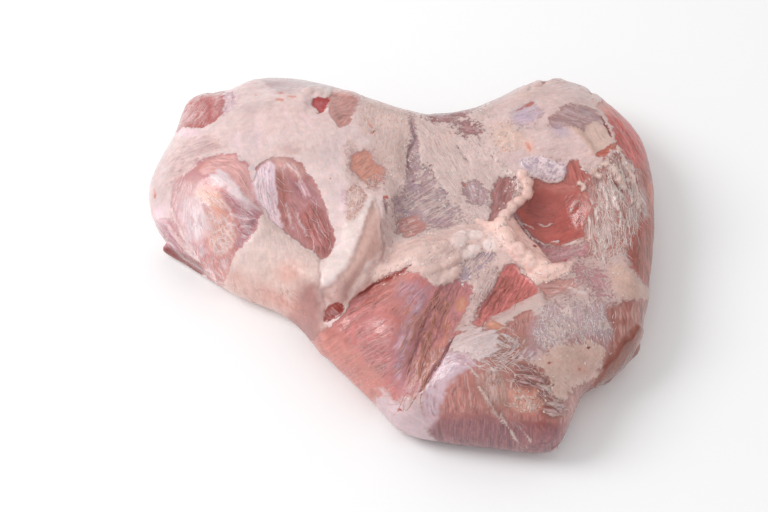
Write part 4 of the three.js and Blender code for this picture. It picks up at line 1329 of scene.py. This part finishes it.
def tubes_tree():
    """Tubes along the edges of a mesh, as thick as its points say."""
    tree, start, end = geometry_tree("Strands", [("Sides", "Int"), ("Material", "Material")])
    curve = add_node(tree, "GeometryNodeMeshToCurve", {"Mesh": start["Geometry"]}).outputs[0]
    circle = {"Resolution": start["Sides"], "Radius": 1.0}
    inputs = {
        "Curve": curve,
        "Profile Curve": add_node(tree, "GeometryNodeCurvePrimitiveCircle", circle).outputs[0],
        "Scale": named(tree, "thickness", "FLOAT"),
        "Fill Caps": True,
    }
    tube = add_node(tree, "GeometryNodeCurveToMesh", inputs).outputs[0]
    tube = add_node(tree, "GeometryNodeRealizeInstances", {"Geometry": tube}).outputs[0]
    finish_tree(tree, tube, start["Material"], end)
    return tree


def crumbs_tree():
    """An uneven crumb on each point of a mesh, as large and turned as the point says."""
    tree, start, end = geometry_tree(
        "Crumbs",
        [("Detail", "Int"), ("Roughness size", "Float"), ("Roughness", "Float"), ("Material", "Material")],
    )
    inputs = {"Radius": 1.0, "Subdivisions": start["Detail"]}
    ball = add_node(tree, "GeometryNodeMeshIcoSphere", inputs).outputs[0]
    inputs = {
        "Points": start["Geometry"],
        "Instance": ball,
        "Rotation": named(tree, "turn", "FLOAT_VECTOR"),
        "Scale": named(tree, "size", "FLOAT_VECTOR"),
    }
    crumbs = add_node(tree, "GeometryNodeInstanceOnPoints", inputs).outputs[0]
    crumbs = add_node(tree, "GeometryNodeRealizeInstances", {"Geometry": crumbs}).outputs[0]
    where = add_node(tree, "GeometryNodeInputPosition").outputs[0]
    inputs = {"Vector": where, "Scale": start["Roughness size"], "Detail": 1.0}
    rough = add_node(tree, "ShaderNodeTexNoise", inputs).outputs["Color"]
    off = add_node(tree, "ShaderNodeVectorMath", {0: rough, 1: (0.5, 0.5, 0.5)}, operation="SUBTRACT")
    inputs = {"Geometry": crumbs, "Offset": scaled(tree, off.outputs[0], start["Roughness"])}
    crumbs = add_node(tree, "GeometryNodeSetPosition", inputs).outputs[0]
    finish_tree(tree, crumbs, start["Material"], end)
    return tree


def grown(name, mesh, tree, values):
    """The plain mesh that a geometry tree makes of a mesh."""
    piece = passing_piece(mesh)
    modifier = piece.modifiers.new(name, "NODES")
    modifier.node_group = tree
    for item in tree.interface.items_tree:
        if item.in_out == "INPUT" and item.name in values:
            modifier[item.identifier] = values[item.name]
    made = bpy.data.meshes.new_from_object(piece.evaluated_get(bpy.context.evaluated_depsgraph_get()))
    bpy.data.objects.remove(piece)
    return made


# ---- Materials ----


def add_node(tree, kind, inputs=None, **settings):
    """A node with its settings and inputs. An input is a value, or another node's socket to link."""
    node = tree.nodes.new(kind)
    for name, value in settings.items():
        setattr(node, name, value)
    for name, value in (inputs or {}).items():
        if isinstance(value, bpy.types.NodeSocket):
            tree.links.new(value, node.inputs[name])
        else:
            node.inputs[name].default_value = value
    return node


def maths(tree, operation, first, second=0.0, third=0.0):
    return add_node(tree, "ShaderNodeMath", {0: first, 1: second, 2: third}, operation=operation).outputs[0]


def scaled(tree, vector, by):
    """A vector times a number, a socket or three numbers."""
    if isinstance(by, tuple):
        return add_node(tree, "ShaderNodeVectorMath", {0: vector, 1: by}, operation="MULTIPLY").outputs[0]
    return add_node(tree, "ShaderNodeVectorMath", {0: vector, "Scale": by}, operation="SCALE").outputs[0]


def mix_colour(tree, share, first, second):
    return add_node(tree, "ShaderNodeMix", {0: share, 6: first, 7: second}, data_type="RGBA").outputs[2]


def spread(tree, value, low, high, to_low=0.0, to_high=1.0):
    inputs = {0: value, 1: low, 2: high, 3: to_low, 4: to_high}
    return add_node(tree, "ShaderNodeMapRange", inputs, interpolation_type="SMOOTHSTEP").outputs[0]


def noise(tree, vector, scale, detail=2.0):
    inputs = {"Vector": vector, "Scale": scale, "Detail": detail, "Roughness": 0.55}
    return add_node(tree, "ShaderNodeTexNoise", inputs).outputs["Fac"]


def new_group(name, inputs, outputs):
    group = bpy.data.node_groups.new(name, "ShaderNodeTree")
    for label, kind in inputs:
        group.interface.new_socket(label, in_out="INPUT", socket_type="NodeSocket" + kind)
    for label, kind in outputs:
        group.interface.new_socket(label, in_out="OUTPUT", socket_type="NodeSocket" + kind)
    start = group.nodes.new("NodeGroupInput")
    end = group.nodes.new("NodeGroupOutput")
    return group, start.outputs, end.inputs


def use_group(tree, group, inputs):
    return add_node(tree, "ShaderNodeGroup", inputs, node_tree=group).outputs


def fibres_group():
    """Long fine streaks along the grain, broader bands of them, and a crackled net of pale lines."""
    group, given, put = new_group(
        "Muscle fibres",
        [("Grain", "Vector"), ("Place", "Vector")],
        [("Streaks", "Float"), ("Bands", "Float"), ("Net", "Float")],
    )
    bend = add_node(group, "ShaderNodeTexNoise", {"Vector": given["Place"], "Scale": 0.045, "Detail": 1.5})
    bend = scaled(group, bend.outputs["Color"], 7.0)
    grain = add_node(group, "ShaderNodeVectorMath", {0: given["Grain"], 1: bend}, operation="ADD").outputs[0]
    fine = noise(group, scaled(group, grain, (0.045, 0.62, 1)), 1.0, 2.5)
    broad = noise(group, scaled(group, grain, (0.025, 0.2, 1)), 1.0, 2.0)
    both = maths(group, "ADD", maths(group, "MULTIPLY", fine, 0.6), maths(group, "MULTIPLY", broad, 0.4))
    group.links.new(both, put["Streaks"])
    bands = noise(group, scaled(group, grain, (0.035, 0.48, 1.3)), 1.0, 2.5)
    group.links.new(spread(group, bands, 0.42, 0.64), put["Bands"])
    net_inputs = {"Vector": scaled(group, grain, (0.16, 0.3, 1)), "Scale": 1.0}
    net = add_node(group, "ShaderNodeTexVoronoi", net_inputs, feature="DISTANCE_TO_EDGE").outputs["Distance"]
    group.links.new(spread(group, net, 0.02, 0.2, 1.0, 0.0), put["Net"])
    return group


def fat_group():
    """The faint grain of fat, slow changes of its shade, and red stains."""
    group, given, put = new_group(
        "Fat",
        [("Place", "Vector"), ("Stain", "Float")],
        [("Height", "Float"), ("Shade", "Float"), ("Stained", "Float")],
    )
    inputs = {"Vector": given["Place"], "Scale": 0.3}
    cell = add_node(group, "ShaderNodeTexVoronoi", inputs, feature="SMOOTH_F1").outputs["Distance"]
    group.links.new(maths(group, "SUBTRACT", 1.0, cell), put["Height"])
    slow = noise(group, given["Place"], 0.06, 3.0)
    shade = maths(group, "ADD", slow, noise(group, given["Place"], 0.2, 2.0))
    group.links.new(maths(group, "MULTIPLY", shade, 0.5), put["Shade"])
    blotch = maths(group, "MULTIPLY_ADD", given["Stain"], 0.2, noise(group, given["Place"], 0.17, 4.0))
    stained = maths(group, "MULTIPLY", spread(group, blotch, 0.6, 0.78), given["Stain"])
    group.links.new(stained, put["Stained"])
    return group


def torn_group():
    """Turns a soft cover into membrane, with crumbs where fibres are few, and strands where they are many."""
    group, given, put = new_group(
        "Torn membrane",
        [("Place", "Vector"), ("Grain", "Vector"), ("Cover", "Float"), ("Torn", "Float"), ("Fibre", "Float")],
        [("Mask", "Float")],
    )
    crumbs = noise(group, given["Place"], 0.42, 4.0)
    strands = noise(group, scaled(group, given["Grain"], (0.06, 0.75, 1)), 1.0, 3.0)
    share = maths(group, "MINIMUM", maths(group, "MULTIPLY", given["Fibre"], 0.8), 0.85)
    grit = add_node(group, "ShaderNodeMix", {0: share, 2: crumbs, 3: strands}).outputs[0]
    reach = maths(group, "MULTIPLY_ADD", given["Torn"], 2.4, 0.7)
    total = maths(group, "MULTIPLY_ADD", maths(group, "SUBTRACT", grit, 0.5), reach, given["Cover"])
    width = maths(group, "MULTIPLY_ADD", given["Torn"], -0.12, 0.34)
    low = maths(group, "SUBTRACT", 0.5, width)
    high = maths(group, "ADD", 0.5, width)
    thickness = maths(group, "MULTIPLY_ADD", given["Torn"], -0.2, 1.0)
    group.links.new(maths(group, "MULTIPLY", spread(group, total, low, high), thickness), put["Mask"])
    return group


WHITE_TISSUE = (*linear("ead6d4"), 1)
FRESH_RED = (*linear("cf7a64"), 1)
MEAT_IOR = 1.4
WET_ROUGHNESS = 0.12
SCATTER_SHARE = 0.2
SCATTER_RADIUS = (1.0, 0.42, 0.3)


def new_material(name):
    """A material, its tree and the inputs of its shader."""
    material = bpy.data.materials.new(name)
    material.use_nodes = True
    return material, material.node_tree, material.node_tree.nodes["Principled BSDF"].inputs


def make_wet(shader, scatter):
    """Gives a shader the wet coat of raw meat and the light that scatters below it."""
    shader["IOR"].default_value = MEAT_IOR
    shader["Coat Roughness"].default_value = WET_ROUGHNESS
    shader["Subsurface Weight"].default_value = SCATTER_SHARE
    shader["Subsurface Radius"].default_value = SCATTER_RADIUS
    shader["Subsurface Scale"].default_value = scatter


def meat_material(groups):
    """Raw pork: lean and fat from the surface's own attributes, with fibres, lobules and torn edges."""
    material, tree, shader = new_material("Raw pork")
    place = scaled(tree, add_node(tree, "ShaderNodeTexCoord").outputs["Object"], 1 / MM)
    read = {
        name: add_node(tree, "ShaderNodeAttribute", attribute_name=name).outputs
        for name in ("lean_tint", "fat_tint", "other_tint", "traits", "grain")
    }
    traits = add_node(tree, "ShaderNodeSeparateColor", {0: read["traits"]["Color"]}).outputs
    cover, fibre, gloss = traits[0], traits[1], traits[2]
    grain = read["grain"]["Vector"]
    fibres = use_group(tree, groups["fibres"], {"Grain": grain, "Place": place})
    fat = use_group(tree, groups["fat"], {"Place": place, "Stain": read["fat_tint"]["Alpha"]})
    torn = read["lean_tint"]["Alpha"]
    given = {"Place": place, "Grain": grain, "Cover": cover, "Torn": torn, "Fibre": fibre}
    mask = use_group(tree, groups["torn"], given)["Mask"]

    streaks = maths(tree, "MULTIPLY", maths(tree, "SUBTRACT", fibres["Streaks"], 0.5), fibre)
    bands = maths(tree, "MULTIPLY", fibres["Bands"], read["other_tint"]["Alpha"])
    net = maths(tree, "MULTIPLY", fibres["Net"], read["traits"]["Alpha"])
    mottle = maths(tree, "SUBTRACT", noise(tree, place, 0.09, 3.0), 0.5)
    value = maths(tree, "MULTIPLY_ADD", mottle, 0.45, maths(tree, "MULTIPLY_ADD", streaks, 1.9, 1.0))
    lean = mix_colour(tree, bands, read["lean_tint"]["Color"], read["other_tint"]["Color"])
    lean = scaled(tree, lean, value)
    lean = mix_colour(tree, maths(tree, "MULTIPLY", net, 0.55), lean, WHITE_TISSUE)
    shade = maths(tree, "MULTIPLY_ADD", maths(tree, "SUBTRACT", fat["Shade"], 0.5), 0.7, 1.0)
    shade = maths(tree, "MULTIPLY_ADD", streaks, 0.9, shade)
    fatty = scaled(tree, read["fat_tint"]["Color"], shade)
    fatty = mix_colour(tree, maths(tree, "MULTIPLY", fat["Stained"], 0.6), fatty, FRESH_RED)
    colour = mix_colour(tree, mask, lean, fatty)

    roughness = maths(tree, "MULTIPLY_ADD", mask, 0.06, 0.38)
    roughness = maths(tree, "MULTIPLY_ADD", gloss, -0.14, roughness)
    height = maths(tree, "MULTIPLY", streaks, 1.8)
    height = maths(tree, "MULTIPLY_ADD", fat["Height"], maths(tree, "MULTIPLY", mask, 0.12), height)
    height = maths(tree, "MULTIPLY_ADD", mask, maths(tree, "MULTIPLY_ADD", torn, 0.7, 0.25), height)
    height = maths(tree, "MULTIPLY_ADD", noise(tree, place, 0.14, 2.0), 0.9, height)
    crumbs = maths(tree, "MULTIPLY", noise(tree, place, 0.5, 2.0), maths(tree, "MULTIPLY", torn, 0.9))
    height = maths(tree, "ADD", crumbs, height)
    height = maths(tree, "MULTIPLY_ADD", net, 0.35, height)
    bump = add_node(tree, "ShaderNodeBump", {"Strength": 1.0, "Distance": 1 * MM, "Height": height})

    make_wet(shader, 2.5 * MM)
    shader["Coat IOR"].default_value = MEAT_IOR
    tree.links.new(colour, shader["Base Color"])
    tree.links.new(roughness, shader["Roughness"])
    tree.links.new(gloss, shader["Coat Weight"])
    tree.links.new(bump.outputs["Normal"], shader["Normal"])
    return material


def tissue_material():
    """Torn fat and membrane, in the tint that each strand or crumb carries."""
    material, tree, shader = new_material("Torn tissue")
    place = scaled(tree, add_node(tree, "ShaderNodeTexCoord").outputs["Object"], 1 / MM)
    tint = add_node(tree, "ShaderNodeAttribute", attribute_name="tint").outputs["Color"]
    shade = spread(tree, noise(tree, place, 0.45, 2.0), 0.3, 0.7, 0.86, 1.1)
    make_wet(shader, 1.5 * MM)
    shader["Roughness"].default_value = 0.42
    shader["Coat Weight"].default_value = 0.12
    tree.links.new(scaled(tree, tint, shade), shader["Base Color"])
    return material


def plain_material(name, colour, roughness):
    material, _, shader = new_material(name)
    shader["Base Color"].default_value = (*colour, 1)
    shader["Roughness"].default_value = roughness
    return material


# ---- The pieces ----


class HAM_OT_flesh(Operator):
    """Make the ham's fine surface, with every area of lean, fat and membrane"""

    bl_idname = "ham.flesh"
    bl_label = "Flesh"

    def execute(self, context):
        scene = context.scene
        vertices, faces = fine_form(scene.ham_form)
        surface = Surface(vertices, faces, scene.ham_tints)
        for seed, (_, kind, look, outline) in enumerate(PATCHES):
            surface.patch(kind, look, outline, seed)
        for blush in BLUSHES:
            surface.blush(*blush)
        for swell in SWELLS:
            surface.swell(*swell)
        for seed, (_, kind, look, outline) in enumerate(LATE_PATCHES):
            surface.patch(kind, look, outline, seed)
        for tint, lumps in LUMPS:
            for lump in lumps:
                surface.lump(tint, *lump)
        for _, look, paths in STROKES:
            for path in paths:
                surface.stroke(look, path)
        surface.fade_at_joins()
        surface.thin_out()
        for spot in SPOTS:
            surface.spot(*spot)
        surface.add_relief(scene.ham_form)
        mesh = mesh_from("ham_flesh", surface.shaped(), faces)
        surface.store_on(mesh)
        groups = dict(fibres=fibres_group(), fat=fat_group(), torn=torn_group())
        piece = add_piece("ham_flesh", mesh, meat_material(groups))
        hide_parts("ham")
        print("flesh:", len(vertices), "points,", len(faces), "triangles")
        return {"FINISHED"}


class HAM_OT_strands(Operator):
    """Make the fine strands of torn membrane and loose fibres"""

    bl_idname = "ham.strands"
    bl_label = "Strands"

    def execute(self, context):
        finder = Finder()
        tints = context.scene.ham_tints
        points, radii, shades, edges = [], [], [], []
        for seed, (_, look, outline) in enumerate(STRANDS):
            draw = np.random.default_rng(STRAND_SEED + seed)
            for start in scattered(outline, look["count"], look["clumps"], draw):
                path = strand_path(finder, look, start, draw)
                if path is None:
                    continue
                first = len(points)
                points += path[0]
                radii += path[1]
                shades += [shade_of(tints, look["tints"], draw)] * STRAND_POINTS
                edges += [(first + i, first + i + 1) for i in range(STRAND_POINTS - 1)]
        mesh = bpy.data.meshes.new("strand paths")
        mesh.from_pydata([tuple(point) for point in points], edges, [])
        fill_attribute(mesh, "thickness", "FLOAT", "value", radii)
        fill_attribute(mesh, "tint", "FLOAT_COLOR", "color", shades)
        material = tissue_material()
        made = grown("Strands", mesh, tubes_tree(), {"Sides": STRAND_SIDES, "Material": material})
        add_piece("torn_strands", made, material)
        print("strands:", len(points) // STRAND_POINTS, "of", len(made.polygons), "faces")
        return {"FINISHED"}


class HAM_OT_crumbs(Operator):
    """Make the crumbs of torn fat"""

    bl_idname = "ham.crumbs"
    bl_label = "Crumbs"

    def execute(self, context):
        finder = Finder()
        tints = context.scene.ham_tints
        points, sizes, turns, shades = [], [], [], []
        for seed, (_, look, outline) in enumerate(CRUMBS):
            draw = np.random.default_rng(CRUMB_SEED + seed)
            for start in scattered(outline, look["count"], look["clumps"], draw):
                place, normal, miss = finder.at(start)
                if miss > MISS_LIMIT:
                    continue
                angle = way_at(look["way"], start) + draw.normal(0, 0.5)
                ahead = start + CRUMB_REACH * np.array((math.cos(angle), math.sin(angle)))
                along = finder.at(ahead)[0] - place
                out = Vector(normal)
                along = Vector(along) - out * Vector(along).dot(out)
                side = out.cross(along).normalized()
                turn = Matrix((along.normalized(), side, out)).transposed()
                half = draw.uniform(*look["size"]) * draw.uniform(0.6, 1.0) * MM
                points.append(place - normal * 0.1 * half)
                sizes.append((half, half / look["long"] * draw.uniform(0.7, 1.2), 0.4 * half))
                turns.append(turn.to_euler())
                shades.append(shade_of(tints, look["tints"], draw))
        mesh = bpy.data.meshes.new("crumb places")
        mesh.from_pydata([tuple(point) for point in points], [], [])
        fill_attribute(mesh, "size", "FLOAT_VECTOR", "vector", sizes)
        fill_attribute(mesh, "turn", "FLOAT_VECTOR", "vector", turns)
        fill_attribute(mesh, "tint", "FLOAT_COLOR", "color", shades)
        material = tissue_material()
        values = {
            "Detail": CRUMB_DETAIL,
            "Roughness size": 1 / CRUMB_BUMP_SIZE,
            "Roughness": CRUMB_ROUGHNESS,
            "Material": material,
        }
        made = grown("Crumbs", mesh, crumbs_tree(), values)
        add_piece("torn_crumbs", made, material)
        print("crumbs:", len(points), "of", len(made.polygons), "faces")
        return {"FINISHED"}


# ---- The stage ----

FLOOR_SIZE = 6.0
KEY_PLACE = (-1.75, 0.1, 1.75)
KEY_SIZE = 1.3


class HAM_OT_stage(Operator):
    """Make the white floor, the soft lights and the camera"""

    bl_idname = "ham.stage"
    bl_label = "Stage"

    def execute(self, context):
        scene = context.scene
        settings = scene.ham_stage
        half = FLOOR_SIZE / 2
        corners = np.array([(-half, -half, 0), (half, -half, 0), (half, half, 0), (-half, half, 0)])
        mesh = mesh_from("floor", corners, np.array([(0, 1, 2, 3)]))
        floor = bpy.data.objects.new("floor", mesh)
        scene.collection.objects.link(floor)
        mesh.materials.append(plain_material("White floor", settings.floor_colour, 0.9))

        light = bpy.data.lights.new("key", "AREA")
        light.shape = "DISK"
        light.size = KEY_SIZE
        light.energy = settings.key
        key = bpy.data.objects.new("key", light)
        key.location = KEY_PLACE
        aim = Vector(LOOK_AT) - Vector(KEY_PLACE)
        key.rotation_euler = aim.to_track_quat("-Z", "Y").to_euler()
        scene.collection.objects.link(key)

        world = bpy.data.worlds.new("white sky")
        world.use_nodes = True
        tree = world.node_tree
        mirrored = add_node(tree, "ShaderNodeLightPath").outputs["Is Glossy Ray"]
        strength = spread(tree, mirrored, 0.0, 1.0, settings.sky, settings.sky * settings.mirrored)
        tree.links.new(strength, tree.nodes["Background"].inputs["Strength"])
        tree.nodes["Background"].inputs["Color"].default_value = (1, 1, 1, 1)
        scene.world = world

        camera = bpy.data.objects.new("camera", bpy.data.cameras.new("camera"))
        camera.data.lens = LENS_MM
        camera.data.sensor_width = SENSOR_MM
        camera.location = CAMERA_PLACE
        camera.rotation_euler = Vector(LOOK).to_track_quat("-Z", "Y").to_euler()
        scene.collection.objects.link(camera)
        scene.camera = camera
        scene.view_settings.view_transform = "Standard"
        return {"FINISHED"}


class HAM_PT_panel(Panel):
    """Lists the ham's pieces and their settings"""

    bl_idname = "HAM_PT_panel"
    bl_label = "Ham"
    bl_space_type = "VIEW_3D"
    bl_region_type = "UI"
    bl_category = "Ham"

    def draw(self, context):
        layout = self.layout
        for operator in OPERATORS:
            layout.operator(operator.bl_idname)
        for group in (context.scene.ham_form, context.scene.ham_stage, context.scene.ham_tints):
            for name in group.bl_rna.properties.keys():
                if name not in ("rna_type", "name"):
                    layout.prop(group, name)


OPERATORS = (HAM_OT_stage, HAM_OT_flesh, HAM_OT_strands, HAM_OT_crumbs)
SETTINGS = {"ham_tints": Ham_PG_Tints, "ham_form": Ham_PG_Form, "ham_stage": Ham_PG_Stage}


def register():
    for cls in (*SETTINGS.values(), *OPERATORS, HAM_PT_panel):
        bpy.utils.register_class(cls)
    for name, cls in SETTINGS.items():
        setattr(bpy.types.Scene, name, PointerProperty(type=cls))


def unregister():
    for name in SETTINGS:
        delattr(bpy.types.Scene, name)
    for cls in (HAM_PT_panel, *OPERATORS, *SETTINGS.values()):
        bpy.utils.unregister_class(cls)


def main():
    register()
    bpy.ops.ham.stage()
    bpy.ops.ham.flesh()
    bpy.ops.ham.strands()
    bpy.ops.ham.crumbs()


if __name__ == "__main__":
    main()
